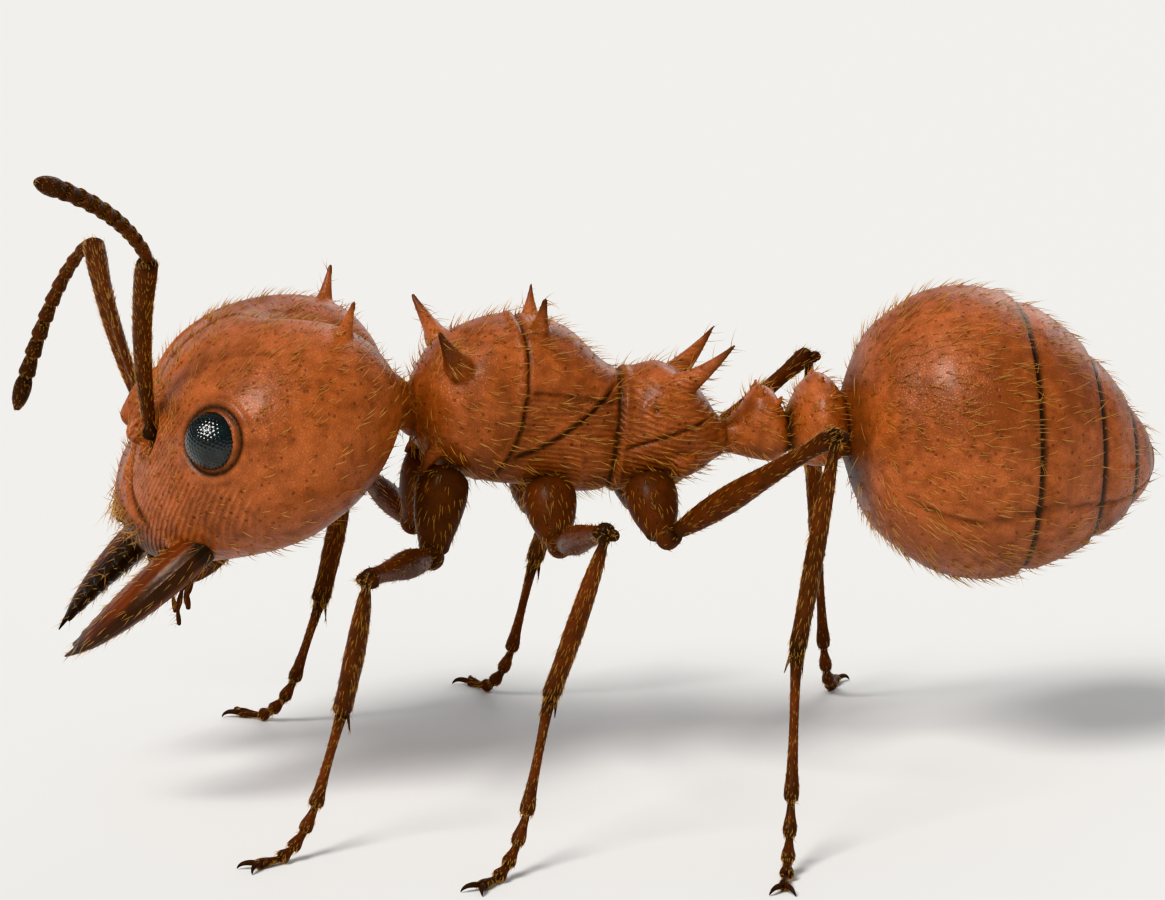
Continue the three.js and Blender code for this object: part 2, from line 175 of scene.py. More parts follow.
# ---- Head capsule ----
# The head is one hard, heart-shaped box of cuticle that hangs nose-down from the neck. The swollen lobes at
# its back carry a thorn each. Lobes over the feelers' sockets and the clypeus, a shield above the jaws, are
# fused to it.
SKIN_DEPTH = 0.03  # how far each skin lies inside the CAD solids
PLATE_END, TAIL_MARGIN = 6.2, 0.02  # where the first gaster plate ends, and half the cut behind it
HEAD_LENGTH, HEAD_WIDTH, HEAD_DEPTH = 4.0, 4.3, 2.9
HEAD_CENTRE = np.array((-4.22, 0, 5.1))
SOLDIER = 1.15  # how much bigger a soldier's head is than the sizes given here
PITCH = math.radians(35)
HEAD_AXES = np.array(  # forward to the jaws, left, and up through the face
    (
        (-math.cos(PITCH), 0, -math.sin(PITCH)),
        (0, -1, 0),
        (-math.sin(PITCH), 0, math.cos(PITCH)),
    )
)
FULLNESS = 2.35  # 2 makes an ellipsoid, more a boxier capsule
SLIMMER_FRONT, SLIMMER_REAR = 0.25, 0.1  # the share of the width that the head loses towards each end
FLATTER_FRONT, FLATTER_REAR = 0.34, 0.12  # and the share of its depth
NOTCH_DEPTH, NOTCH_WIDTH = 0.75, 0.7  # between the two lobes at the back
THROAT = 0.88  # how far the underside stands out, next to the face
SOCKET = np.array((1.02, 0.74, 0.9))
EYE_PLACE = np.array((0.42, 1.74, 0.62))
CLYPEUS_EDGE, CLYPEUS_SIDE = 1.62, 1.12
SIDES = {"left": -1, "right": 1}  # the sign of Y
RIDGE_STEP = 0.085  # from one fine ridge of the cuticle to the next
ROUND_END = 0.6  # how long the rounded end of a limb is, in radii there

# The CAD frame centres the ant on its bounding box, and its gaster shows by how much.
gaster_low, gaster_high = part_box("gaster_1")
OFFSET = Vector((gaster_high.x - (PLATE_END - TAIL_MARGIN) * MM, (gaster_low.y + gaster_high.y) / 2, 0))
TO_FRAME = Matrix.Translation(OFFSET) @ Matrix.Scale(MM, 4)


def ease(x, low, high):
    """0 below low, 1 above high, and a smooth rise between them."""
    share = np.clip((x - low) / (high - low), 0, 1)
    return share * share * (3 - 2 * share)


def bell(x, width):
    """1 where x is 0, and nearly nothing two widths away from it."""
    return np.exp(-((x / width) ** 2))


def unit(vectors):
    """Each vector at a length of one."""
    return vectors / np.linalg.norm(vectors, axis=-1, keepdims=True)


def through(rows):
    """A smooth curve through rows of [where, value, value, ...], as a function on an array of places."""
    rows = np.array(rows, float)
    at, values = rows[:, 0], rows[:, 1:]
    slopes = np.gradient(values, at, axis=0)

    def curve(where):
        i = np.clip(np.searchsorted(at, where, "right") - 1, 0, len(at) - 2)
        span = (at[i + 1] - at[i])[:, None]
        s = np.clip((where - at[i])[:, None] / span, 0, 1)
        rise = values[i + 1] - values[i]
        bend = slopes[i] * span * (1 - s) ** 2 * s - slopes[i + 1] * span * (1 - s) * s**2
        return (values[i] + rise * (3 - 2 * s) * s**2 + bend).T

    return curve


def bezier(line, shares):
    """Points along a curve from the start of a line, pulled towards its middle point, to its stop."""
    start, pull, stop = line
    s = shares[:, None]
    return (1 - s) ** 2 * start + 2 * s * (1 - s) * pull + s**2 * stop


def read(things, field, width):
    """A field of a mesh's vertices, normals or triangles, as an array with a row for each."""
    values = np.empty(len(things) * width)
    things.foreach_get(field, values)
    return values.reshape(-1, width)


def corners(mesh):
    return read(mesh.vertices, "co", 3)


def normals_of(mesh):
    return read(mesh.vertex_normals, "vector", 3)


def move_to(mesh, points):
    """Puts a mesh's vertices at new points."""
    mesh.vertices.foreach_set("co", points.ravel())
    mesh.update()


def shaped(bm, move):
    """A mesh from a bmesh, with every corner moved to where move(points) puts it. The operators leave faces
    in a chance order, which would shuffle the seeded bristles, so they are sorted by their first edges."""
    bm.verts.index_update()
    count = len(bm.verts)
    bm.faces.sort(key=lambda face: face.verts[0].index * count + face.verts[1].index)
    mesh = meshed(bm)
    move_to(mesh, move(corners(mesh)))
    return mesh


def note(mesh, name, values):
    """Stores one number for each corner, for a finish to read."""
    layer = mesh.attributes.get(name) or mesh.attributes.new(name, "FLOAT", "POINT")
    layer.data.foreach_set("value", values.astype(np.float32))


def paint(mesh, shares):
    """Stores how dark the cuticle is painted at each corner, from 0 to 1: its own dark marks, and painted
    shade where a skin has it.
    """
    note(mesh, "dark", np.clip(shares, 0, 1))


def joined(parts):
    """One mesh that holds several, each with its own shade and, on bristles, its own baking map."""
    bm = bmesh.new()
    shades = []
    for part in parts:
        dark = part.attributes.get("dark")
        shades.append(read(dark.data, "value", 1)[:, 0] if dark else np.zeros(len(part.vertices)))
        bm.from_mesh(part)
        bpy.data.meshes.remove(part)
    mesh = meshed(bm)
    paint(mesh, np.concatenate(shades))
    return mesh


def fused(parts, grain, softening):
    """One closed skin round overlapping meshes, with a soft fillet wherever they meet. grain is how fine it
    is, and softening how many times it is smoothed."""
    holder = bpy.data.objects.new("fusing", joined(parts))
    bpy.context.collection.objects.link(holder)
    remesh = holder.modifiers.new("remesh", "REMESH")
    remesh.mode, remesh.voxel_size = "VOXEL", grain
    smooth = holder.modifiers.new("soften", "SMOOTH")
    smooth.factor, smooth.iterations = 0.5, softening
    mesh = bpy.data.meshes.new_from_object(holder.evaluated_get(bpy.context.evaluated_depsgraph_get()))
    bpy.data.objects.remove(holder)
    return mesh


def limb(line, rows, sides=20, rings=36, flat=1.0, across=(0, 0, 1), shade=((0, 0), (1, 0))):
    """A closed skin round a curved middle line, given by its start, the point that pulls its middle, and its
    stop. rows are [share of the length, radius] and shade is [share of the length, how dark]. flat squeezes
    it along across."""
    start, pull, stop = line = [np.array(point, float) for point in line]
    length = np.linalg.norm(stop - start)
    radius_at, shade_at = through(rows), through(shade)
    caps = [max(ROUND_END * rows[i][1] / length, 1e-3) for i in (0, -1)]
    bm = bmesh.new()
    bmesh.ops.create_uvsphere(bm, u_segments=sides, v_segments=rings, radius=1)
    shares = np.array([(1 - v.co.z) / 2 for v in bm.verts])

    def move(ball):
        turn = np.arctan2(ball[:, 1], ball[:, 0])[:, None]
        s = shares[:, None]
        first = unit(np.cross(np.array(across), unit((1 - s) * (pull - start) + s * (stop - pull))))
        second = np.cross(first, unit((1 - s) * (pull - start) + s * (stop - pull)))
        inside = [np.clip(1 - near / cap, 0, 1) for near, cap in zip((shares, 1 - shares), caps)]
        closing = np.sqrt(np.clip(1 - inside[0] ** 2 - inside[1] ** 2, 0, 1))
        r = (radius_at(shares)[0] * closing)[:, None]
        return bezier(line, shares) + r * (np.cos(turn) * first + flat * np.sin(turn) * second)

    mesh = shaped(bm, move)
    paint(mesh, shade_at(shares)[0])
    return mesh


def straight(start, stop, rows, **settings):
    """A limb with a straight middle line."""
    return limb((start, (np.array(start) + np.array(stop)) / 2, stop), rows, **settings)


def thorn(base, way, length, radius, bow=(0, 0, 0)):
    """A curved thorn that points a certain way. Its foot flares, so that it grows out of its plate."""
    stop = base + unit(np.array(way)) * length
    pull = (base + stop) / 2 + 2 * np.array(bow)
    rows = [[0, radius * 1.5], [0.28, radius], [0.62, radius * 0.55], [1, 0.03]]
    return limb((base, pull, stop), rows, sides=16, rings=24, across=(1, 0, 0))


def from_head(points, side=-1):
    """The head's axes to the ant's own. What is given is on the left, and a side of 1 mirrors it."""
    return HEAD_CENTRE + SOLDIER * (np.array(points) * (1, -side, 1)) @ HEAD_AXES


def to_head(points):
    return (points - HEAD_CENTRE) @ HEAD_AXES.T / SOLDIER


def head_part(start, stop, rows, side=-1, **settings):
    """A bar on the head, given in the head's axes and size."""
    rows = [[share, SOLDIER * radius] for share, radius in rows]
    return straight(from_head(start, side), from_head(stop, side), rows, **settings)


def capsule(ball):
    """The head's skin in its own axes, for the points of a ball of radius one."""
    size = (np.abs(ball) ** FULLNESS).sum(1) ** (-1 / FULLNESS)
    along, aside, face = (ball * size[:, None]).T
    front, rear = ease(along, 0, 1), ease(-along, 0.1, 1)
    left = aside * (HEAD_WIDTH / 2 - SKIN_DEPTH) * (1 - SLIMMER_FRONT * front - SLIMMER_REAR * rear)
    notch = NOTCH_DEPTH * rear * bell(left, NOTCH_WIDTH)
    thick = (HEAD_DEPTH / 2 - SKIN_DEPTH) * (1 - FLATTER_FRONT * front - FLATTER_REAR * rear)
    up = face * thick * np.where(face < 0, THROAT, 1) - 0.1 * front
    return np.stack([along * (HEAD_LENGTH / 2 - SKIN_DEPTH) + notch, left, up], 1)


bm = bmesh.new()
bmesh.ops.create_icosphere(bm, subdivisions=6, radius=1)
head_parts = [shaped(bm, lambda ball: from_head(capsule(ball)))]
for side in SIDES.values():
    horn_way = np.array((-0.7, 0.35 * -side, 0.62)) @ HEAD_AXES
    head_parts += [
        head_part((0.3, 0.34, 1.18), (1.28, 0.52, 0.94), [[0, 0.07], [0.5, 0.21], [1, 0.1]], side),
        head_part((1.28, 1.02, -0.16), (1.62, 1.12, -0.3), [[0, 0.2], [1, 0.13]], side),
        head_part((1.5, 0.2, 0.5), (1.93, 0.32, 0.14), [[0, 0.16], [1, 0.07]], side, flat=0.6),
        thorn(from_head((-1.36, 1.05, 0.5), side), horn_way, length=0.72, radius=0.12),
    ]
head_parts.append(head_part((-1.2, 0, -0.62), (-1.72, 0, -0.62), [[0, 0.42], [1, 0.33]], rings=16))
head = fused(head_parts, grain=0.0295, softening=6)


def weighed(marks):
    """The heights and shades that rows of [pattern, how far it stands up, how dark it is] add up to."""
    height = sum(rise * pattern for pattern, rise, _ in marks)
    return height, sum(dark * pattern for pattern, _, dark in marks)


def head_relief(points, normals):
    """Furrows, ridges, sockets and the clypeus: heights over the capsule, how dark each is, and where the
    cuticle is finely ridged, with the place across those ridges."""
    forward, left, up = to_head(points).T
    aside = np.abs(left)
    place = np.stack([forward, aside, up], 1)
    facing = normals @ HEAD_AXES[2]
    face = ease(facing, 0.0, 0.5)
    furrow = bell(left, 0.045) * ease(forward, -1.35, -0.9) * (1 - ease(forward, 0.85, 1.0)) * face
    hollow = bell(left, 0.22) * bell(forward - 0.95, 0.3) * face
    brow = bell(aside - 0.45 - 0.24 * (0.6 - forward), 0.05) * face
    brow *= ease(forward, -0.9, 0.1) * (1 - ease(forward, 0.5, 0.8))
    edge = forward - CLYPEUS_EDGE + 0.55 * bell(aside, 0.4) - 0.06 * aside
    within = ease(CLYPEUS_SIDE - aside, 0, 0.1) * face
    seam = bell(edge, 0.035) * within
    shield = ease(edge, 0, 0.12) * within
    crest = bell(aside - 0.3, 0.07) * ease(edge, 0.05, 0.2) * within
    from_socket = np.linalg.norm((place - SOCKET)[:, :2], axis=1)
    pit, rim = bell(from_socket, 0.17) * face, bell(from_socket - 0.27, 0.05) * face
    from_eye = np.linalg.norm(place - EYE_PLACE, axis=1)
    eye_groove, eye_rim = bell(from_eye - 0.385, 0.03), bell(from_eye - 0.47, 0.045)
    cheek = bell(aside - 1.45 + 0.3 * (forward - 1), 0.06) * ease(forward, 0.75, 1.1) * (1 - face * 0.7)
    chin = bell(left, 0.035) * ease(-facing, 0.3, 0.6)
    tips, mouth = ease(-forward + 0.9 * up, 2.25, 2.7), ease(forward, 1.6, 2.0)
    near_eye, near_furrow = bell(from_eye - 0.39, 0.14), bell(left, 0.16) * face
    # painted shade: darker where the skin faces down
    painted_underside_shade = ease(-normals[:, 2], 0.2, 0.9)
    height, dark = weighed(
        [
            [shield, 0.04, 0],
            [rim, 0.035, 0],
            [eye_rim, 0.025, 0],
            [brow, 0.035, 0],
            [crest, 0.03, 0],
            [cheek, 0.02, 0],
            [furrow, -0.025, 0.5],
            [hollow, -0.07, 0],
            [seam, -0.03, 0.8],
            [pit, -0.16, 1],
            [eye_groove, -0.035, 0.9],
            [chin, -0.03, 0.6],
            [tips, 0, 0.85],
            [mouth, 0, 0.7],
            [near_eye, 0, 0.25],
            [near_furrow, 0, 0.2],
            [painted_underside_shade, 0, 0.22],
        ]
    )
    ridged = ease(forward, 0.2, 0.8) * ease(aside, 0.35, 0.75)
    ridged += 0.8 * bell(left, 0.42) * ease(forward, -0.4, 0.4)
    ridged *= (1 - 0.9 * shield) * ease(from_eye, 0.47, 0.65) * (1 - 0.6 * ease(-facing, 0.2, 0.6))
    return height, dark, ridged, (aside - 0.9 * up) / RIDGE_STEP


def sculpt(mesh, relief):
    """Carves a skin along its normals, then notes its shade and its ridges."""
    points, normals = corners(mesh), normals_of(mesh)
    move_to(mesh, points + normals * relief(points, normals)[0][:, None])
    dark, ridged, across = relief(corners(mesh), normals_of(mesh))[1:]
    paint(mesh, dark)
    note(mesh, "ridged", np.clip(ridged, 0, 1))
    note(mesh, "stria", across)


sculpt(head, head_relief)


def finish(name):
    """An empty material, and the wire of its Object coordinates."""
    material = bpy.data.materials.new(name)
    material.use_nodes = True
    material.node_tree.nodes.clear()
    return material, Wire(material.node_tree).node("TexCoord", output=3)


def surface(place, values, relief):
    """The shader and the output. relief is the height of the fine surface, in millimetres."""
    normal = place.node("Bump", {"Strength": 1.0, "Distance": MM, "Height": relief})
    shader = place.node("BsdfPrincipled", {"IOR": 1.5, **values, "Normal": normal})
    place.node("OutputMaterial", {"Surface": shader})


def colour(code):
    """A linear colour from a web one."""
    parts = [int(code[i : i + 2], 16) / 255 for i in (0, 2, 4)]
    return (*((p / 12.92 if p <= 0.04045 else ((p + 0.055) / 1.055) ** 2.4) for p in parts), 1)


def noise(place, scale, detail, roughness=0.5):
    """Cloudy noise. At a scale of 1000 its clouds are about a millimetre across."""
    return place.node("TexNoise", {"Vector": place, "Scale": scale, "Detail": detail, "Roughness": roughness})


def noted(place, name):
    """A number that note stored at the skin's corners."""
    return place.node("Attribute", output=2, attribute_name=name)


def cuticle(name, light, deep, dark, gloss=0.35, shine=0.36, coat=0.12, grain=1.0):
    """Ant cuticle: clouded between two browns and near black at seams and tips. Its surface is a fine net
    with small pits, and fine ridges where the skin's own attributes ask for them. Painted shade darkens the
    hollows of the net, the pits and the troughs of the ridges, and the undersides that the skin's dark
    attribute marks."""
    material, place = finish(name)
    clouds = noise(place, 620, 5, 0.62)
    mottle = noise(place, 5200, 3, 0.55)
    net = place.node("TexVoronoi", {"Vector": place, "Scale": 24000 * grain}, feature="DISTANCE_TO_EDGE")
    pits = place.node("TexVoronoi", {"Vector": place, "Scale": 7200 * grain, "Randomness": 0.9})
    # the dark attribute holds the skin's dark seams and tips, and painted shade on its underside
    seam, ridged = noted(place, "dark"), noted(place, "ridged")
    ridges = (noted(place, "stria") * (2 * math.pi) + mottle * 5).sine() * ridged
    cell = net.between(0.0, 0.3)
    pit = pits.between(0.1, 0.24)
    shade = (clouds * 0.6 + mottle * 0.4).between(0.36, 0.64)
    # painted shade: darker in the hollows of the net, in the pits and in the troughs of the fine ridges
    hollow = (1 - cell) * 0.22 + (1 - pit) * 0.4 + (ridged - ridges) * 0.14
    tone = hollow.blend(shade.blend(colour(light), colour(deep)), colour(dark))
    surface(
        place,
        {
            "Base Color": seam.blend(tone, colour(dark)),
            "Roughness": gloss + 0.16 * mottle + 0.12 * seam - 0.06 * cell,
            "Coat Weight": coat,
            "Coat Roughness": 0.2,
            "Specular IOR Level": shine,
            "Specular Tint": (1.0, 0.86, 0.73, 1),
        },
        cell * 0.003 + pit * 0.007 + mottle * 0.012 + clouds * 0.03 + ridges * 0.007,
    )
    return material


def place_piece(mesh, name, material, nodes=()):
    """Brings a finished mesh to metres, in its place in the frame, in the stead of its CAD nodes."""
    mesh.transform(TO_FRAME)
    mesh.shade_smooth()
    mesh.materials.append(material)
    mesh.name = name
    piece = bpy.data.objects.new(name, mesh)
    bpy.context.collection.objects.link(piece)
    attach(piece, "root")
    if nodes:
        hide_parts(*nodes)
    return piece


body_cuticle = cuticle("body_cuticle", "BC673E", "834427", "25140E")
head_piece = place_piece(head, "head_skin", body_cuticle, ["head"])

# ---- Eyes ----
# Two domes of tiny hexagonal lenses, nearly black and very glossy, set in a shallow groove at the sides of
# the head. Each lens is a small bulge on a smooth ball.
EYE_RADIUS, EYE_HEIGHT, EYE_TILT = 0.34, 0.265, math.radians(22)
LENSES = 4  # icosphere steps: 642 lenses on a whole ball, of which half show
LENS_BULGE, LENS_PACKING = 0.009, 0.58


def eye(side):
    bm = bmesh.new()
    bmesh.ops.create_icosphere(bm, subdivisions=LENSES, radius=1)
    lenses = np.array([v.co for v in bm.verts])
    bm.free()
    spacing = math.sqrt(4 * math.pi / len(lenses)) * LENS_PACKING
    bm = bmesh.new()
    bmesh.ops.create_icosphere(bm, subdivisions=6, radius=1)

    def move(ball):
        nearest = np.arccos(np.clip((ball @ lenses.T).max(1), -1, 1))
        bulge = LENS_BULGE * np.clip(1 - (nearest / spacing) ** 2, 0, 1)
        forward, out, up = (ball * (EYE_RADIUS, EYE_HEIGHT, EYE_RADIUS) + ball * bulge[:, None]).T
        cos, sin = math.cos(EYE_TILT), math.sin(EYE_TILT)
        tilted = np.stack([forward, out * cos - up * sin, out * sin + up * cos], 1)
        return from_head(tilted + EYE_PLACE, side)

    mesh = shaped(bm, move)
    if side > 0:
        mesh.flip_normals()
    return mesh


eye_material, place = finish("compound_eye")
glint = noise(place, 6000, 3)
surface(
    place,
    {
        "Base Color": glint.between(0.35, 0.7).blend(colour("090D0D"), colour("182221")),
        "Roughness": 0.16 + 0.08 * glint,
        "Coat Weight": 0.6,
        "Coat Roughness": 0.04,
    },
    glint * 0.001,
)
for name, side in SIDES.items():
    place_piece(eye(side), f"eye_{name}_lenses", eye_material, [f"eye_{name}"])

# ---- Jaws ----
# Two curved blades of very hard, almost black cuticle that hinge at the front corners of the head. Each is
# thick along its outer edge and thins out to a row of teeth, and fine grooves run along it.
JAW_LENGTH, JAW_THICKNESS, JAW_OPENING = 1.95, 0.46, math.radians(13)
JAW_HINGE = np.array((1.3, 1.12, -0.42))
JAW_TIP, JAW_ROOT = np.array((JAW_LENGTH, 0.96)), np.array((0.62, 0.6))  # the ends of the row of teeth
JAW_TEETH, TIP_BITE, BITE = 8, 0.17, 0.1  # how many teeth there are, and how deep the gaps before them are
ROUNDED, THINNED = 0.3, 0.75  # how far in the outer edge is rounded, and the toothed one thinned
BLANK = 0.4  # the thickness of the flat blank that each blade is carved from


def jaw_outline():
    """The blade from above, from its hinge round the outer edge to the tip, and back along the teeth."""
    edge = [Vector((0, -0.3)), Vector((0.7, -0.42)), Vector((1.7, -0.25)), Vector(JAW_TIP)]
    outer = []
    for s in np.linspace(0, 1, 28):
        a, b, c, d = ((1 - s) ** 3, 3 * s * (1 - s) ** 2, 3 * s**2 * (1 - s), s**3)
        outer.append(a * edge[0] + b * edge[1] + c * edge[2] + d * edge[3])
    teeth = []
    for tooth in range(JAW_TEETH):
        gap, crown = (JAW_TIP + (JAW_ROOT - JAW_TIP) * (tooth + share) / JAW_TEETH for share in (0.45, 1))
        bite = BITE if tooth else TIP_BITE
        teeth += [gap - (0.4 * bite, bite), crown]
    return outer, [*teeth, (0.3, 0.5), (0, 0.36)]


def distance_to(points, line):
    """How far each point of a plane is from an open line of corners."""
    line = np.array(line)
    nearest = np.full(len(points), np.inf)
    for start, run in zip(line[:-1], np.diff(line, axis=0)):
        share = np.clip((points - start) @ run / (run @ run), 0, 1)
        nearest = np.minimum(nearest, np.linalg.norm(points - start - share[:, None] * run, axis=1))
    return nearest


def jaw(side):
    """A blank cut to the outline, then thinned towards its edges, bowed, and turned open."""
    outer, inner = jaw_outline()
    bm = bmesh.new()
    face = bm.faces.new([bm.verts.new((x, y, -BLANK / 2)) for x, y in (*outer, *inner)])
    lifted = bmesh.ops.extrude_face_region(bm, geom=[face])["geom"]
    bmesh.ops.translate(bm, vec=(0, 0, BLANK), verts=[v for v in lifted if isinstance(v, bmesh.types.BMVert)])
    bmesh.ops.recalc_face_normals(bm, faces=bm.faces)
    bmesh.ops.triangulate(bm, faces=bm.faces)
    mesh = fused([meshed(bm)], grain=0.015, softening=2)
    points = corners(mesh)
    x, y, z = points.T
    from_outer, from_teeth = (distance_to(points[:, :2], line) for line in (outer, [outer[-1], *inner]))
    round_edge = np.sqrt(1 - (1 - np.clip(from_outer / ROUNDED, 0, 1)) ** 2)
    thin_edge = 0.16 + 0.84 * np.sqrt(1 - (1 - np.clip(from_teeth / THINNED, 0, 1)) ** 2)
    taper = 1 - 0.42 * ease(x, 0.5, JAW_LENGTH)
    z = z / BLANK * JAW_THICKNESS * taper * np.maximum(round_edge, 0.2) * thin_edge - 0.06 * x**2
    cos, sin = math.cos(JAW_OPENING), math.sin(JAW_OPENING)
    opened = np.stack([x * cos + y * sin, x * sin - y * cos, z], 1) + JAW_HINGE
    shade = 0.25 + 0.75 * (1 - ease(from_teeth, 0.0, 0.42)) * ease(x, 0.35, 0.8)
    paint(mesh, shade + 0.5 * bell(from_outer, 0.06) + 0.5 * (1 - ease(x, 0.0, 0.25)))
    note(mesh, "stria", from_outer / (from_outer + from_teeth))
    move_to(mesh, from_head(opened, side))
    if side < 0:
        mesh.flip_normals()
    return mesh


jaw_cuticle, place = finish("jaw_cuticle")
clouds, grit = noise(place, 1400, 4), noise(place, 16000, 3)
grooves = (noted(place, "stria") * 60 + clouds * 6).sine() * 0.5 + 0.5
tone = clouds.between(0.35, 0.65).blend(colour("753317"), colour("4C2010"))
tone = noted(place, "dark").between(0.1, 0.95).blend(tone, colour("130A07"))
# The troughs of the grooves are darkened, as painted shade.
surface(
    place,
    {
        "Base Color": (grooves * -0.35 + 0.35).blend(tone, colour("130A07")),
        "Roughness": 0.34 + 0.2 * grit,
        "Coat Weight": 0.1,
        "Coat Roughness": 0.2,
        "Specular IOR Level": 0.35,
        "Specular Tint": (1.0, 0.84, 0.7, 1),
    },
    grooves * 0.006 + grit * 0.003,
)
jaws = {
    name: place_piece(jaw(side), f"mandible_{name}_blade", jaw_cuticle, [f"mandible_{name}"])
    for name, side in SIDES.items()
}

# ---- Mouthparts ----
# Between and below the jaws lie the labrum, a small two-lobed lip, the paired maxillae, the labium, and four
# jointed palps that taste the food. They are small soft-edged plates, fused into one block here.
LONG_PALP = ((1.66, 0.26, -0.8), (1.86, 0.35, -0.9), (2.04, 0.37, -1.06), (2.14, 0.31, -1.24))
SHORT_PALP = ((1.7, 0.08, -0.92), (1.86, 0.12, -1.04), (1.96, 0.11, -1.2))


def palp(knots, side):
    """A chain of little club-shaped joints on the head, each a bit thinner than the one before."""
    links = []
    for i, (start, stop) in enumerate(zip(knots[:-1], knots[1:])):
        wide = 0.042 - 0.005 * i
        rows = [[0, 0.6 * wide], [0.6, wide], [1, 0.75 * wide]]
        links.append(head_part(start, stop, rows, side, sides=14, rings=14))
    return links


mouth_parts = [head_part((1.05, 0, -0.78), (1.78, 0, -0.84), [[0, 0.2], [0.6, 0.22], [1, 0.16]], rings=20)]
for side in SIDES.values():
    mouth_parts += [
        head_part((1.0, 0.2, -0.7), (1.86, 0.17, -0.72), [[0, 0.2], [0.5, 0.22], [1, 0.13]], side),
        head_part((1.62, 0.12, -0.36), (1.98, 0.13, -0.52), [[0, 0.13], [1, 0.1]], side, rings=16),
        *palp(LONG_PALP, side),
        *palp(SHORT_PALP, side),
    ]
mouth = fused(mouth_parts, grain=0.014, softening=2)
forward, left, up = to_head(corners(mouth)).T
paint(mouth, 0.3 + 0.5 * ease(forward, 1.9, 2.3) + 0.4 * bell(left, 0.03))
limb_browns = ("602D18", "40200F", "19110D")
limb_cuticle = cuticle("limb_cuticle", *limb_browns, gloss=0.34, shine=0.17, coat=0.06, grain=1.4)
mouth_piece = place_piece(mouth, "mouthparts_block", limb_cuticle, ["mouthparts"])

# ---- Feelers ----
# Each feeler is a long stiff scape with a ball at its foot, and a whip of ten short cups set in one another.
# They darken towards the tip, where the last joint is a spindle.
SCAPE_LENGTH, WHIP_LENGTH = 2.85, 3.4
WHIP_JOINTS = np.array([1.35, 0.78, 0.8, 0.84, 0.88, 0.92, 0.96, 1.0, 1.04, 1.75])  # their shares of the whip
CUP_TUCK, WHIP_END = 0.008, 0.985  # how far a cup reaches into the last one, and where the spindle ends
FEELERS = {  # where the elbow, the middle of the whip and its tip point to
    "left": ((-5.85, -1.9, 7.5), (-6.2, -3.1, 8.6), (-7.1, -4.1, 9.0)),
    "right": ((-6.2, 2.45, 6.95), (-6.75, 3.6, 6.9), (-7.3, 4.25, 4.75)),
}
SCAPE = [
    [0, 0.115], [0.03, 0.12], [0.065, 0.07], [0.1, 0.085],
    [0.2, 0.1], [0.7, 0.135], [0.94, 0.15], [1, 0.14],
]
SCAPE_SHADE = [[0, 0.9], [0.05, 0.9], [0.1, 0.4], [0.3, 0.15], [0.85, 0.2], [0.97, 0.6], [1, 1]]
CUP = [[0, 0.6], [0.1, 0.72], [0.55, 0.94], [0.88, 1], [1, 0.86]]
SPINDLE = [[0, 0.62], [0.2, 0.95], [0.5, 1], [0.8, 0.72], [1, 0.3]]


def feeler(name):
    """The scape and the whip of one feeler."""
    elbow, middle, tip = (np.array(point) for point in FEELERS[name])
    socket = from_head(SOCKET, SIDES[name])
    knee = socket + unit(elbow - socket) * SCAPE_LENGTH
    bowed = (socket + knee) / 2 + np.array((-0.2, 0, 0.16))
    foot = socket + (socket - knee) * 0.02
    scape = limb((foot, bowed, knee), SCAPE, sides=28, rings=64, shade=SCAPE_SHADE)
    fine = np.linspace(0, 1, 400)
    rough = bezier((knee, middle, tip), fine)
    stretch = WHIP_LENGTH / np.linalg.norm(np.diff(rough, axis=0), axis=1).sum()
    curve = knee + (rough - knee) * stretch
    run = np.concatenate([[0], np.linalg.norm(np.diff(curve, axis=0), axis=1).cumsum()])
    ends = np.concatenate([[0], WHIP_JOINTS.cumsum()]) / WHIP_JOINTS.sum() * WHIP_END
    joints = []
    for i in range(len(WHIP_JOINTS)):
        start, half, stop = (
            np.array([np.interp(s * run[-1], run, curve[:, k]) for k in range(3)])
            for s in (ends[i] - CUP_TUCK, (ends[i] + ends[i + 1]) / 2, ends[i + 1])
        )
        share = i / (len(WHIP_JOINTS) - 1)
        wide, tint = 0.092 + 0.034 * share, 0.15 + 0.5 * share
        joints.append(
            limb(
                (start, 2 * half - (start + stop) / 2, stop),
                [[s, wide * radius] for s, radius in (SPINDLE if share == 1 else CUP)],
                sides=24,
                rings=30,
                across=(1, 0.3, 0),
                shade=[[0, 1], [0.16, tint + 0.2], [0.5, tint], [0.9, tint], [1, tint + 0.35]],
            )
        )
    return scape, joined(joints)


feelers = {}
for name in SIDES:
    scape, whip = feeler(name)
    whip_nodes = [f"antenna_{name}_funiculus_{k}" for k in (1, 2)]
    feelers[name] = (
        place_piece(scape, f"antenna_{name}_scape_skin", limb_cuticle, [f"antenna_{name}_scape"]),
        place_piece(whip, f"antenna_{name}_whip", limb_cuticle, whip_nodes),
    )

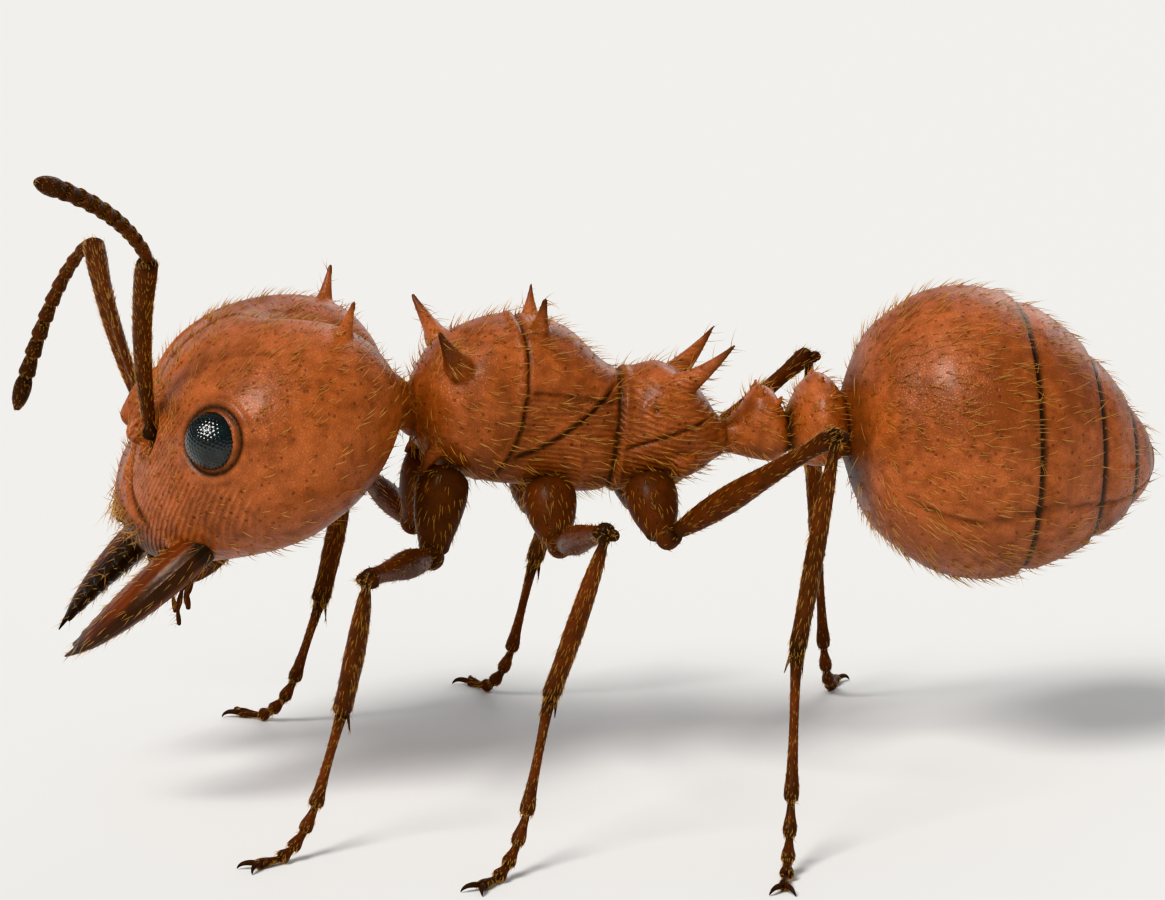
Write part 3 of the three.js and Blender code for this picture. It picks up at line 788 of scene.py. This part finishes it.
# ---- Trunk ----
# One rigid box of fused plates carries the legs: the broad shield behind the neck, the hump of the middle
# plate, and the narrower propodeum behind a deep saddle. Four pairs of spines grow out of it.
TRUNK = [  # x, top, bottom, half width
    [-2.5, 5.58, 5.14, 0.24],
    [-2.28, 5.72, 4.98, 0.38],
    [-1.98, 6.14, 4.66, 0.86],
    [-1.4, 6.52, 4.38, 1.14],
    [-0.65, 6.64, 4.22, 0.98],
    [0.0, 6.4, 4.12, 0.82],
    [0.5, 5.94, 4.1, 0.72],
    [0.8, 5.86, 4.12, 0.72],
    [1.3, 5.92, 4.2, 0.78],
    [1.72, 5.6, 4.32, 0.68],
    [2.02, 5.16, 4.5, 0.42],
]
SPINES = (  # where each is rooted, the way it points, its length, its radius and its bow, on the right side
    ((-1.62, 0.82, 6.04), (-0.42, 0.72, 0.72), 0.98, 0.16, (0, 0.04, -0.03)),
    ((-0.5, 0.4, 6.38), (0.1, 0.42, 0.9), 0.62, 0.12, (0, 0, 0)),
    ((1.42, 0.36, 5.58), (0.72, 0.4, 0.66), 1.08, 0.15, (0, 0, -0.05)),
    ((-1.95, 0.64, 4.9), (-0.55, 0.42, -0.72), 0.44, 0.11, (0, 0, 0)),
)
BREATHING_HOLES = ((1.06, 0.74, 5.38), 0.05), ((-0.8, 0.92, 5.72), 0.04)  # each with its radius
GLAND = (1.5, 0.74, 4.74)
HIP_PLACES = (-1.8, -0.36, 1.0)
TRUNK_BULGE = 0.35  # how far each rounded end of a body part stands out, in half widths there


def hooped(start, stop, outline, closing, depth, sides, rings, squareness=2.0):
    """A closed skin of hoops along X. outline(x) gives each hoop's top, bottom and half width, closing(x)
    draws it together, and depth(x, turn) is how deep it lies inside the solid."""
    bm = bmesh.new()
    bmesh.ops.create_uvsphere(bm, u_segments=sides, v_segments=rings, radius=1)

    def move(ball):
        x = start + (1 - ball[:, 2]) / 2 * (stop - start)
        turn = np.arctan2(ball[:, 1], ball[:, 0])
        cos, sin = (np.sign(v) * np.abs(v) ** (2 / squareness) for v in (np.cos(turn), np.sin(turn)))
        top, bottom, half = outline(x)
        y = (half - depth(x, turn)) * cos * closing(x)
        z = (top + bottom) / 2 - ((top - bottom) / 2 - depth(x, turn)) * sin * closing(x)
        return np.stack([x, y, z], 1)

    return shaped(bm, move)


def plate(rows, squareness=2.0, sides=72, rings=72):
    """A body part with rounded ends, from rows of [x, top, bottom, half width]."""
    first, last = rows[0][0], rows[-1][0]
    front, rear = TRUNK_BULGE * rows[0][3], TRUNK_BULGE * rows[-1][3]

    def closing(x):
        return np.sqrt(1 - (np.clip((first - x) / front, 0, 1) + np.clip((x - last) / rear, 0, 1)) ** 2)

    def depth(x, turn):
        return SKIN_DEPTH

    return hooped(first - front, last + rear, through(rows), closing, depth, sides, rings, squareness)


trunk_parts = [plate(TRUNK, squareness=2.2)]
for side in SIDES.values():
    flip = np.array((1, side, 1))
    for base, way, length, radius, bow in SPINES:
        trunk_parts.append(thorn(base * flip, way * flip, length, radius, bow * flip))
    trunk_parts += [
        straight((-0.9, 0.74, 6.1) * flip, (0.1, 0.5, 6.06) * flip, [[0, 0.05], [0.5, 0.12], [1, 0.04]]),
        straight((1.28, 0.62, 4.62) * flip, (1.66, 0.56, 4.56) * flip, [[0, 0.12], [0.5, 0.19], [1, 0.12]]),
    ]
trunk = fused(trunk_parts, grain=0.028, softening=5)


def trunk_relief(points, normals):
    """The seams between the plates, the breathing holes, the rims and the fine ridges low on the sides."""
    x, y, z = points.T
    aside = np.abs(y)
    place = np.stack([x, aside, z], 1)
    behind_shield = x - 0.25 * (z - 5.4) + 1.05 - 0.3 * aside**2
    saddle = x - 0.56 - 0.12 * (z - 5)
    low = ease(5.8 - z, 0, 0.25)
    in_middle = ease(behind_shield, 0.05, 0.15) * ease(-saddle, 0.05, 0.15)
    behind = ease(saddle, 0.05, 0.2) * ease(1.9 - x, 0, 0.2)
    flank = z - 4.98 - 0.5 * (x + 0.4) - 0.25 * (x + 0.4) ** 2
    shelf = z - 4.98 - 0.3 * (x - 1.2)
    upper = z - 5.62 + 0.2 * (x + 0.3)
    seams = bell(behind_shield, 0.032) + bell(saddle, 0.034) + bell(flank, 0.03) * in_middle * low
    seams += bell(shelf, 0.03) * behind + 0.7 * bell(upper, 0.03) * in_middle * ease(aside, 0.3, 0.5)
    lips = bell(behind_shield + 0.1, 0.05) + bell(saddle - 0.1, 0.05)
    lips += bell(flank - 0.1, 0.05) * in_middle * low
    collar = bell(x + 2.22, 0.035)
    socket_rims = sum(bell(np.hypot(x - at, aside - 0.6) - 0.4, 0.06) for at in HIP_PLACES)
    socket_rims *= ease(-normals[:, 2], 0.0, 0.4)
    gaps = [(np.linalg.norm(place - at, axis=1), size) for at, size in BREATHING_HOLES]
    hole = sum(bell(gap, size) for gap, size in gaps)
    rims = sum(bell(gap - 2.1 * size, size) for gap, size in gaps)
    gland = bell(np.linalg.norm((place - GLAND) * (0.5, 1, 1.6), axis=1), 0.05)
    dents = np.sin(4.1 * x + 1.3 * z) * np.sin(3.3 * z - 1.7 * x) * np.sin(3.7 * y + x)
    spike = 0
    for base, way, length, *_ in SPINES:
        tip = base + length * unit(np.array(way))
        spike += 1 - ease(np.linalg.norm(place - tip, axis=1), 0.0, 0.75 * length)
    wide = bell(behind_shield, 0.14) + bell(saddle, 0.16) + bell(flank, 0.12) * in_middle * low
    height, dark = weighed(
        [
            [np.clip(lips, 0, 1), 0.03, 0],
            [dents, 0.02, 0],
            [rims, 0.03, 0],
            [socket_rims, 0.03, 0],
            [np.clip(seams, 0, 1), -0.045, 0],
            [seams, 0, 0.75],
            [collar, -0.02, 0.5],
            [hole, -0.06, 1],
            [gland, -0.04, 0.6],
            [bell(saddle, 0.16), -0.03, 0],
            [spike, 0, 0.75],
            # painted shade: darker where the skin faces down
            [ease(-normals[:, 2], 0.2, 0.9), 0, 0.4],
            [wide, 0, 0.22],
        ]
    )
    ridged = low * ease(x, -1.2, -0.6) * (1 - 0.5 * lips) + 0.6 * bell(x - 1.5, 0.3) * ease(z, 5.2, 5.5)
    return height, dark, ridged, (z + 0.25 * x + 0.4 * aside) / RIDGE_STEP


sculpt(trunk, trunk_relief)
trunk_nodes = ["prothorax", "mesothorax", "propodeum"]
trunk_piece = place_piece(trunk, "trunk_shell", body_cuticle, trunk_nodes)

# ---- Waist ----
# Two small knots between trunk and gaster let the ant curl its tail. Each is a hard ring with blunt knobs on
# its back, narrow where it hinges on the next.
PETIOLE = [  # x, top, bottom, half width
    [2.0, 5.04, 4.62, 0.24],
    [2.28, 5.16, 4.54, 0.3],
    [2.58, 5.54, 4.46, 0.44],
    [2.84, 5.44, 4.44, 0.46],
    [3.02, 5.1, 4.56, 0.32],
]
POSTPETIOLE = [
    [3.0, 5.12, 4.58, 0.36],
    [3.22, 5.54, 4.4, 0.62],
    [3.48, 5.7, 4.34, 0.76],
    [3.72, 5.5, 4.42, 0.6],
    [3.84, 5.3, 4.52, 0.44],
]
KNOTS = {  # the shape of each, and the place and length of its pairs of knobs
    "petiole": (PETIOLE, [(2.6, 0.22, 5.42, 0.16), (2.85, 0.26, 5.32, 0.13), (2.3, 0.2, 5.06, 0.1)]),
    "postpetiole": (POSTPETIOLE, [(3.42, 0.3, 5.58, 0.14), (3.56, 0.5, 5.42, 0.13)]),
}


def knot(rows, knobs):
    """One ring of the waist, darker at its hinges, with painted shade where it faces down."""
    parts = [plate(rows, sides=48, rings=48)]
    for x, y, z, length in knobs:
        parts += [thorn((x, y * side, z), (0.25, 0.5 * side, 0.8), length, 0.05) for side in SIDES.values()]
    mesh = fused(parts, grain=0.02, softening=4)
    x = corners(mesh)[:, 0]
    # painted shade: darker where the skin faces down
    painted_underside_shade = ease(-normals_of(mesh)[:, 2], 0.2, 0.8)
    paint(mesh, bell(x - rows[0][0], 0.1) + bell(x - rows[-1][0], 0.08) + 0.3 * painted_underside_shade)
    return mesh


waist = {
    name: place_piece(knot(rows, knobs), f"{name}_knot", body_cuticle, [name])
    for name, (rows, knobs) in KNOTS.items()
}

# ---- Gaster ----
# The egg-shaped tail half is four overlapping back plates that slide in one another like a telescope, with
# belly plates below. The first covers more than half of it. Each ends in a thin rounded lip over the next.
GASTER = [  # x, top, bottom, half width
    [3.8, 5.4, 4.52, 0.42],
    [4.05, 5.98, 3.8, 1.08],
    [4.66, 6.6, 3.08, 1.7],
    [5.5, 6.84, 2.7, 1.98],
    [6.44, 6.56, 2.8, 1.82],
    [7.32, 5.86, 3.18, 1.32],
    [7.92, 5.08, 3.62, 0.7],
    [8.18, 4.66, 3.94, 0.3],
]
LIP, TAIL_CAP = 0.06, 0.16  # the rolled rear edge of a plate, and the rounded end of the last
TUCK = 0.45  # how far the next plate reaches in under it
GASTER_FRONT, GASTER_TAIL = 3.7, 8.25
GASTER_NOSE = 0.14  # the rounded front of each plate
GASTER_SPANS = [  # where each plate begins and ends, and how far its front is drawn in
    (GASTER_FRONT, PLATE_END, 0.0),
    (PLATE_END - TUCK, 7.2, 0.07),
    (7.2 - TUCK, 7.8, 0.07),
    (7.8 - TUCK, GASTER_TAIL, 0.06),
]


def gaster_plate(front, rear, tuck):
    """One ring of the gaster, with the seam between its back and its belly pressed in."""
    outline = through(GASTER)
    cap = LIP if rear < GASTER_TAIL else TAIL_CAP

    def closing(x):
        roll = np.clip(1 - (rear - x) / cap, 0, 1)
        nose = np.clip(1 - (x - front) / GASTER_NOSE, 0, 1)
        return np.sqrt(np.clip(1 - roll**2, 0, 1)) * np.sqrt(1 - nose**2)

    def depth(x, turn):
        slide = tuck * (1 - ease(x, front + TUCK, front + TUCK + 0.3))
        ripple = 0.010 * np.sin(3.1 * x + 2 * turn) * np.sin(2.3 * turn + 1.7 * x)
        return SKIN_DEPTH + slide + ripple * ease(x, 4.3, 4.8)

    mesh = hooped(front, rear, outline, closing, depth, sides=132, rings=96)
    points = corners(mesh)
    x, _, z = points.T
    top, bottom, _ = outline(x)
    level = (z - bottom) / (top - bottom)
    seam = bell(level - 0.3 - 0.03 * np.sin(2.2 * x), 0.012) * ease(x, 4.3, 4.6)
    points -= normals_of(mesh) * (0.03 * seam)[:, None]
    move_to(mesh, points)
    # Painted shade darkens the belly side low down. Where a plate comes out from under the lip of the one
    # before it is darker, as a dark joint and as painted shade under that lip; the first plate is darker at
    # its front, where it meets the waist.
    edge, painted_underside_shade = bell(rear - points[:, 0], 0.07), ease(0.3 - level, 0, 0.2)
    if front > GASTER_FRONT:
        start = 1 - ease(points[:, 0], front + TUCK, front + TUCK + 0.1)
    else:
        start = 0.6 * (1 - ease(points[:, 0], 3.9, 4.1))
    paint(mesh, 0.7 * seam + 0.7 * edge + 0.3 * painted_underside_shade + start)
    return mesh


gaster_plates = [
    place_piece(gaster_plate(*span), f"gaster_{i + 1}_plate", body_cuticle, [f"gaster_{i + 1}"])
    for i, span in enumerate(GASTER_SPANS)
]

# ---- Legs ----
# Six legs hinge under the trunk. Each is a stout coxa, a small trochanter, a femur that swells near its root,
# a tibia with spurs at its end, five tarsal joints and two hooked claws.
LEGS = {  # the coxa's root and tip, the lengths of femur and tibia and of the tarsal joints, and the feet
    "fore": (
        ((-1.78, 0.62, 4.66), (-2.02, 1.0, 3.5)),
        (2.8, 2.1),
        (1.2, 0.34, 0.27, 0.2, 0.38),
        {"left": (-4.7, -3.55), "right": (-4.25, 4.1)},
    ),
    "mid": (
        ((-0.38, 0.52, 4.4), (-0.34, 1.14, 3.62)),
        (3.0, 2.4),
        (1.45, 0.4, 0.31, 0.23, 0.4),
        {"left": (-1.95, -4.95), "right": (-0.7, 5.35)},
    ),
    "hind": (
        ((0.98, 0.48, 4.4), (1.1, 1.1, 3.64)),
        (3.45, 2.95),
        (1.85, 0.46, 0.36, 0.27, 0.44),
        {"left": (1.9, -5.6), "right": (4.75, 4.65)},
    ),
}
TARSUS_SLOPES = (68, 56, 42, 24, 0)  # how steeply the five tarsal joints go down, in degrees
KNEE_LEAN = 0.32  # how far a knee swings backwards for each unit that it rises
TOE_TURN = 0.45  # how far the feet turn forwards, for each unit that they point out from the hip
SOLE_HEIGHT, TOE_HEIGHT = 0.2, 0.075  # the last toe's middle line in the solid foot, and in the real one
LEG_BARS = {  # sides and rings, flatness, [share of the length, radius] and [share of the length, how dark]
    "coxa": (
        (36, 48, 1.0),
        [[0, 0.3], [0.25, 0.36], [0.6, 0.31], [0.85, 0.22], [1, 0.18]],
        [[0, 0.8], [0.2, 0.25], [0.6, 0.15], [0.9, 0.4], [1, 1]],
    ),
    "trochanter": (
        (30, 28, 1.0),
        [[0, 0.11], [0.3, 0.17], [0.75, 0.155], [1, 0.12]],
        [[0, 1], [0.2, 0.35], [0.8, 0.35], [1, 0.9]],
    ),
    "femur": (
        (36, 72, 0.9),
        [[0, 0.1], [0.05, 0.13], [0.3, 0.2], [0.6, 0.15], [0.85, 0.12], [0.95, 0.14], [1, 0.12]],
        [[0, 1], [0.06, 0.3], [0.3, 0.1], [0.8, 0.2], [0.94, 0.5], [1, 0.95]],
    ),
    "knee_lobe": ((18, 20, 1.0), [[0, 0.06], [0.5, 0.085], [1, 0.06]], [[0, 0.5], [1, 0.9]]),
    "tibia": (
        (32, 72, 0.85),
        [
            [0, 0.1], [0.03, 0.1], [0.07, 0.07], [0.13, 0.09],
            [0.5, 0.145], [0.85, 0.135], [0.97, 0.13], [1, 0.11],
        ],
        [[0, 1], [0.06, 0.8], [0.15, 0.25], [0.5, 0.15], [0.9, 0.4], [1, 1]],
    ),
    "spur": ((10, 14, 1.0), [[0, 0.026], [0.5, 0.018], [1, 0.005]], [[0, 0.5], [1, 0.9]]),
    "claw": ((14, 24, 1.0), [[0, 0.042], [0.4, 0.034], [0.8, 0.018], [1, 0.006]], [[0, 0.6], [1, 1]]),
}
FIRST_TOE = [[0, 0.06], [0.04, 0.08], [0.1, 0.075], [0.8, 0.08], [0.95, 0.1], [1, 0.085]]
MIDDLE_TOE = [[0, 0.045], [0.3, 0.06], [0.85, 0.09], [1, 0.07]]
LAST_TOE = [[0, 0.04], [0.35, 0.048], [0.85, 0.07], [1, 0.065]]


def leg_line(pair, name):
    """The joints of a leg from the hip to the claws, and the way that its foot points."""
    coxa, (femur, tibia), toes, feet = LEGS[pair]
    hip, root = (np.array(joint) * (1, SIDES[name], 1) for joint in coxa)
    claws = np.array((*feet[name], SOLE_HEIGHT))
    outwards = unit(unit((claws - root) * (1, 1, 0)) - (TOE_TURN, 0, 0))
    tarsus = [claws]
    for length, slope in zip(reversed(toes), reversed(TARSUS_SLOPES)):
        run, drop = math.cos(math.radians(slope)), math.sin(math.radians(slope))
        tarsus.insert(0, tarsus[0] - outwards * run * length + np.array((0, 0, drop * length)))
    ankle = tarsus[0]
    span = np.linalg.norm(ankle - root)
    axis = (ankle - root) / span
    along = (femur**2 - tibia**2 + span**2) / (2 * span)
    bend = np.array((KNEE_LEAN, 0, 1))
    lift = unit(bend - axis * (bend @ axis))
    knee = root + axis * along + lift * math.sqrt(femur**2 - along**2)
    for point in tarsus[1:]:
        point[2] = TOE_HEIGHT + (point[2] - SOLE_HEIGHT) * (ankle[2] - TOE_HEIGHT) / (ankle[2] - SOLE_HEIGHT)
    return hip, root, knee, tarsus, outwards


def leg_parts(pair, name):
    """The skins of one leg, each with the CAD nodes that it stands for."""
    hip, root, knee, tarsus, outwards = leg_line(pair, name)
    ankle, end = tarsus[0], tarsus[-1]
    down, back = unit(knee - root), unit(ankle - knee)
    across = np.cross((0, 0, 1), outwards)

    def bar(part, start, pull, stop, across=across):
        (sides, rings, flat), rows, shade = LEG_BARS[part]
        return limb((start, pull, stop), rows, sides, rings, flat, across, shade)

    coxa = bar("coxa", hip, (hip + root) / 2 + 0.08 * outwards, root)
    thigh_root = root + 0.27 * down
    thigh_bow = (thigh_root + knee) / 2 + 0.05 * np.cross(down, across)
    femur = [
        bar("trochanter", root - 0.06 * down, root + 0.12 * down, root + 0.3 * down),
        bar("femur", thigh_root, thigh_bow, knee + 0.04 * down),
    ]
    shin_bow = (knee + ankle) / 2 - 0.06 * np.cross(back, across)
    tibia = [bar("tibia", knee - 0.02 * back, shin_bow, ankle)]
    claws = []
    for way in (-1, 1):
        aside = way * across
        lobe = knee - 0.12 * down + 0.1 * aside, knee + 0.13 * aside, knee + 0.1 * back + 0.1 * aside
        femur.append(bar("knee_lobe", *lobe, across=(0, 0, 1)))
        start = ankle - 0.05 * back + 0.07 * aside - 0.04 * outwards
        stop = ankle + 0.26 * back + 0.12 * aside - 0.1 * outwards
        tibia.append(bar("spur", start, (start + stop) / 2, stop, across=(0, 0, 1)))
        start = end + 0.03 * aside - 0.03 * outwards
        hook = end + 0.16 * outwards + 0.12 * aside + np.array((0, 0, 0.05))
        stop = end + 0.19 * outwards + 0.17 * aside + np.array((0, 0, 0.012 - TOE_HEIGHT))
        claws.append(bar("claw", start, hook, stop))
    joints = []
    for i, (start, stop) in enumerate(zip(tarsus[:-1], tarsus[1:])):
        rows = (FIRST_TOE, MIDDLE_TOE, MIDDLE_TOE, MIDDLE_TOE, LAST_TOE)[i]
        tint = 0.35 + 0.1 * i
        shade = [[0, 1], [0.15, tint], [0.85, tint], [1, min(tint + 0.3, 1)]]
        line = (start - 0.03 * unit(stop - start), (start + stop) / 2, stop)
        joints.append(limb(line, rows, sides=22, rings=22 if i else 40, across=across, shade=shade))
    return {
        "coxa": (coxa, ["coxa"]),
        "femur": (joined(femur), ["femur"]),
        "tibia": (joined(tibia), ["tibia"]),
        "tarsus": (joined(joints), ["basitarsus", "tarsus"]),
        "claws": (joined(claws), []),
    }


legs = {}
for pair in LEGS:
    for name in SIDES:
        leg = f"leg_{pair}_{name}"
        legs[pair, name] = {}
        for part, (mesh, nodes) in leg_parts(pair, name).items():
            stood_for = [f"{leg}_{node}" for node in nodes]
            skin = place_piece(mesh, f"{leg}_{part}_skin", limb_cuticle, stood_for)
            legs[pair, name][part] = skin

# ---- Bristles ----
# Fine amber bristles, each a thin curved cone set in its own pit. They stand up sparsely on the body, and lie
# close and dense along the shins, the feet and the feelers.
PATCH = 0.003  # the room that one bristle has on the map that its colours are baked to
RINGS = ((0.0, 1.0), (0.3, 0.9), (0.68, 0.55))  # the share of a bristle's length, and its thickness there
STOUT, COARSE, FINE, DOWNY = 0.0075, 0.0065, 0.005, 0.0035  # how thick bristles are at the root
CURL, DROOP = 0.35, 0.3  # how far the tip of a bristle bends over in lengths, and how much of that is down
SHORTEST, LONGEST = 0.65, 1.2  # in shares of the length that its coat is given
UNTIDY_LEAN, UNTIDY_LIFT = 0.22, 0.08  # how far bristles differ from their neighbours
ROOTED = 0.015  # how deep it stands in the skin
CLEARANCE = 0.004  # how far it stays above the floor


def in_millimetres(piece):
    """The vertices of a placed piece, in the ant's own frame."""
    return (corners(piece.data) - OFFSET) / MM


def bristles(piece, count, seed, length, lift, flow, unwrap, keep=None, thick=COARSE):
    """A mesh of bristles rooted on a placed skin. lift is how far they stand up from it, flow the way they
    lean, keep(points, normals) how thickly they grow, and unwrap(points) their place on the baking map."""
    rng = np.random.default_rng(seed)
    piece.data.calc_loop_triangles()
    triangles = read(piece.data.loop_triangles, "vertices", 3).astype(int)
    a, b, c = in_millimetres(piece)[triangles].transpose(1, 0, 2)
    face = np.cross(b - a, c - a)
    area = np.linalg.norm(face, axis=1)
    pick = rng.choice(len(area), count, p=area / area.sum())
    u, v = rng.random((2, count, 1))
    u, v = np.where(u + v > 1, 1 - u, u), np.where(u + v > 1, 1 - v, v)
    root = a[pick] + u * (b - a)[pick] + v * (c - a)[pick]
    normal = (face / np.maximum(area, 1e-12)[:, None])[pick]
    if keep:
        chosen = rng.random(count) < keep(root, normal)
        root, normal = root[chosen], normal[chosen]
    n = len(root)
    lean = flow + rng.normal(0, UNTIDY_LEAN, (n, 3))
    lean = unit(lean - normal * (lean * normal).sum(1)[:, None])
    rise = np.clip(lift + rng.normal(0, UNTIDY_LIFT, (n, 1)), 0.05, 1)
    way = unit(normal * rise + lean * (1 - rise))
    size = length * rng.uniform(SHORTEST, LONGEST, (n, 1))
    first = unit(np.cross(way, np.cross(normal, lean) + 0.01 * lean))
    second = np.cross(way, first)
    rows = []
    for share, wide in (*RINGS, (1.0, 0.0)):
        bend = CURL * share**2 * (lean - DROOP * normal)
        middle = root + size * (share * way + bend) - ROOTED * normal
        turns = (0, 2 * math.pi / 3, 4 * math.pi / 3) if wide else (0,)
        rows += [middle + thick * wide * (math.cos(t) * first + math.sin(t) * second) for t in turns]
    points = np.stack(rows, 1)
    points[:, :, 2] = np.maximum(points[:, :, 2], CLEARANCE)
    each = len(rows)
    quads = [(r + k, r + (k + 1) % 3, r + 3 + (k + 1) % 3, r + 3 + k) for r in (0, 3) for k in range(3)]
    ends = [(6, 7, 9), (7, 8, 9), (8, 6, 9), (2, 1, 0)]
    starts = np.arange(n)[:, None, None] * each
    loops = np.concatenate([(starts + np.array(f)).reshape(n, -1) for f in (quads, ends)], 1).ravel()
    sizes = np.tile([4] * len(quads) + [3] * len(ends), n)
    made = bpy.data.meshes.new("bristles")
    made.vertices.add(n * each)
    made.vertices.foreach_set("co", points.ravel())
    made.loops.add(loops.size)
    made.loops.foreach_set("vertex_index", loops)
    made.polygons.add(len(sizes))
    made.polygons.foreach_set("loop_start", np.concatenate([[0], sizes.cumsum()[:-1]]))
    corner = np.array([(r / 3, k / 3) for r in range(3) for k in range(3)] + [(1, 0.5)])
    spots = unwrap(root)[:, None, :] * (1 - PATCH) + corner * PATCH
    layer = made.uv_layers.new(name="OFBake")
    layer.data.foreach_set("uv", spots.reshape(-1, 2)[loops].ravel())
    made.update(calc_edges=True)
    paint(made, np.tile([1.0] * 3 + [0.6] * 3 + [0.3] * 3 + [0], n))
    return made


def round_map(middle, axes=np.eye(3)):
    """An unwrap of a round body: its longitude and latitude about its middle, as a map from 0 to 1."""

    def unwrap(points):
        x, y, z = ((points - middle) @ axes.T).T
        turn = np.arctan2(y, z) / (2 * math.pi) + 0.5
        return np.stack([turn, np.arctan2(x, np.hypot(y, z)) / math.pi + 0.5], 1)

    return unwrap


def bar_map(start, stop):
    """An unwrap of a long limb: the angle round it, and the share of its length."""
    length = np.linalg.norm(stop - start)
    axis = unit(stop - start)
    first = unit(np.cross(axis, (0.3, 0.2, 0.9)))
    second = np.cross(axis, first)

    def unwrap(points):
        gap = points - start
        turn = np.arctan2(gap @ second, gap @ first) / (2 * math.pi) + 0.5
        return np.stack([turn, np.clip(gap @ axis / length, 0, 1)], 1)

    return unwrap


def along_a_bar(piece, count, seed, length, lift, start, stop):
    """Bristles that point down a leg or a feeler."""
    return bristles(piece, count, seed, length, lift, stop - start, bar_map(start, stop), thick=FINE)


bristle_material, place = finish("bristle")
speckle = noise(place, 3000, 2)
surface(
    place,
    {
        "Base Color": (noted(place, "dark") * 0.7 + speckle * 0.3).blend(colour("D9A763"), colour("80461E")),
        "Roughness": 0.38 + 0.15 * speckle,
    },
    speckle * 0.001,
)


def head_growth(points, normals):
    """Thick on the face, thinner below, and none on the eyes."""
    forward, left, up = to_head(points).T
    from_eye = np.linalg.norm(np.stack([forward, np.abs(left), up], 1) - EYE_PLACE, axis=1)
    return (0.35 + 0.65 * ease(normals @ HEAD_AXES[2], -0.2, 0.4)) * ease(from_eye, 0.45, 0.6)


def fringe(points, normals):
    """The long bristles along the front edge of the clypeus, over the jaws."""
    forward, left, up = to_head(points).T
    return ease(forward, 1.72, 1.8) * (1 - ease(forward, 1.9, 1.96)) * (up > -0.1)


def off_the_lips(front, rear):
    """Growth on a gaster plate, away from its lip and from what the plate before it covers."""
    covered = TUCK * (front > GASTER_FRONT)

    def growth(points, normals):
        x = points[:, 0]
        return ease(x, front + covered, front + TUCK + 0.1) * (x < rear - 0.03)

    return growth


head_map = round_map(HEAD_CENTRE, HEAD_AXES)
jaw_map = round_map(from_head(JAW_HINGE * (1, 0, 1)), HEAD_AXES)
trunk_map, gaster_map = round_map((-0.2, 0, 5.3)), round_map((5.8, 0, 4.8))
knot_maps = {"petiole": round_map((2.6, 0, 4.9)), "postpetiole": round_map((3.45, 0, 4.95))}
jawwards, rearwards, backwards = HEAD_AXES[0], -HEAD_AXES[0], np.array((1, 0, 0))
coats = {  # for each its slot, and its bristles: on what, how many, seed, length, lift, flow and map
    "head_bristles": (
        "cuticle",
        bristles(head_piece, 2100, 11, 0.2, 0.55, rearwards, head_map, head_growth),
        bristles(head_piece, 7500, 12, 0.075, 0.12, rearwards, head_map, head_growth, thick=DOWNY),
        bristles(head_piece, 5200, 13, 0.34, 0.3, jawwards, head_map, fringe, thick=STOUT),
    ),
    "jaw_bristles": (
        "jaw",
        bristles(jaws["left"], 260, 14, 0.16, 0.4, jawwards, jaw_map, thick=FINE),
        bristles(jaws["right"], 260, 15, 0.16, 0.4, jawwards, jaw_map, thick=FINE),
        bristles(mouth_piece, 220, 16, 0.16, 0.5, jawwards, jaw_map, thick=FINE),
    ),
    "trunk_bristles": (
        "cuticle",
        bristles(trunk_piece, 1300, 21, 0.24, 0.6, backwards, trunk_map),
        bristles(trunk_piece, 3600, 22, 0.08, 0.15, backwards, trunk_map, thick=DOWNY),
    ),
    "waist_bristles": (
        "cuticle",
        bristles(waist["petiole"], 160, 31, 0.2, 0.6, backwards, knot_maps["petiole"]),
        bristles(waist["postpetiole"], 260, 32, 0.22, 0.6, backwards, knot_maps["postpetiole"]),
    ),
}
GASTER_COUNTS = (1900, 700, 380, 260)
for i, (ring, span, count) in enumerate(zip(gaster_plates, GASTER_SPANS, GASTER_COUNTS)):
    growth = off_the_lips(*span[:2])
    coats[f"gaster_{i + 1}_bristles"] = (
        "cuticle",
        bristles(ring, count, 40 + i, 0.24, 0.42, backwards, gaster_map, growth),
        bristles(ring, 3 * count, 50 + i, 0.08, 0.12, backwards, gaster_map, growth, thick=DOWNY),
    )
for k, ((pair, name), parts) in enumerate(legs.items()):
    hip, root, knee, tarsus, outwards = leg_line(pair, name)
    ankle, claws = tarsus[0], tarsus[-1]
    coats[f"leg_{pair}_{name}_bristles"] = (
        "limb",
        along_a_bar(parts["coxa"], 130, 100 + k, 0.14, 0.45, hip, root),
        along_a_bar(parts["femur"], 420, 110 + k, 0.12, 0.35, root, knee),
        along_a_bar(parts["tibia"], 700, 120 + k, 0.12, 0.22, knee, ankle),
        along_a_bar(parts["tarsus"], 900, 130 + k, 0.08, 0.22, ankle, claws),
    )
for k, (name, feeler_pieces) in enumerate(feelers.items()):
    scape, whip = feeler_pieces
    socket = from_head(SOCKET, SIDES[name])
    skins = [in_millimetres(piece) for piece in feeler_pieces]
    elbow, tip = (points[np.linalg.norm(points - socket, axis=1).argmax()] for points in skins)
    coats[f"antenna_{name}_bristles"] = (
        "limb",
        along_a_bar(scape, 700, 150 + k, 0.1, 0.35, socket, elbow),
        along_a_bar(whip, 2600, 160 + k, 0.05, 0.3, elbow, tip),
    )
for name, (slot, *parts) in coats.items():
    place_piece(joined(parts), name, bristle_material)
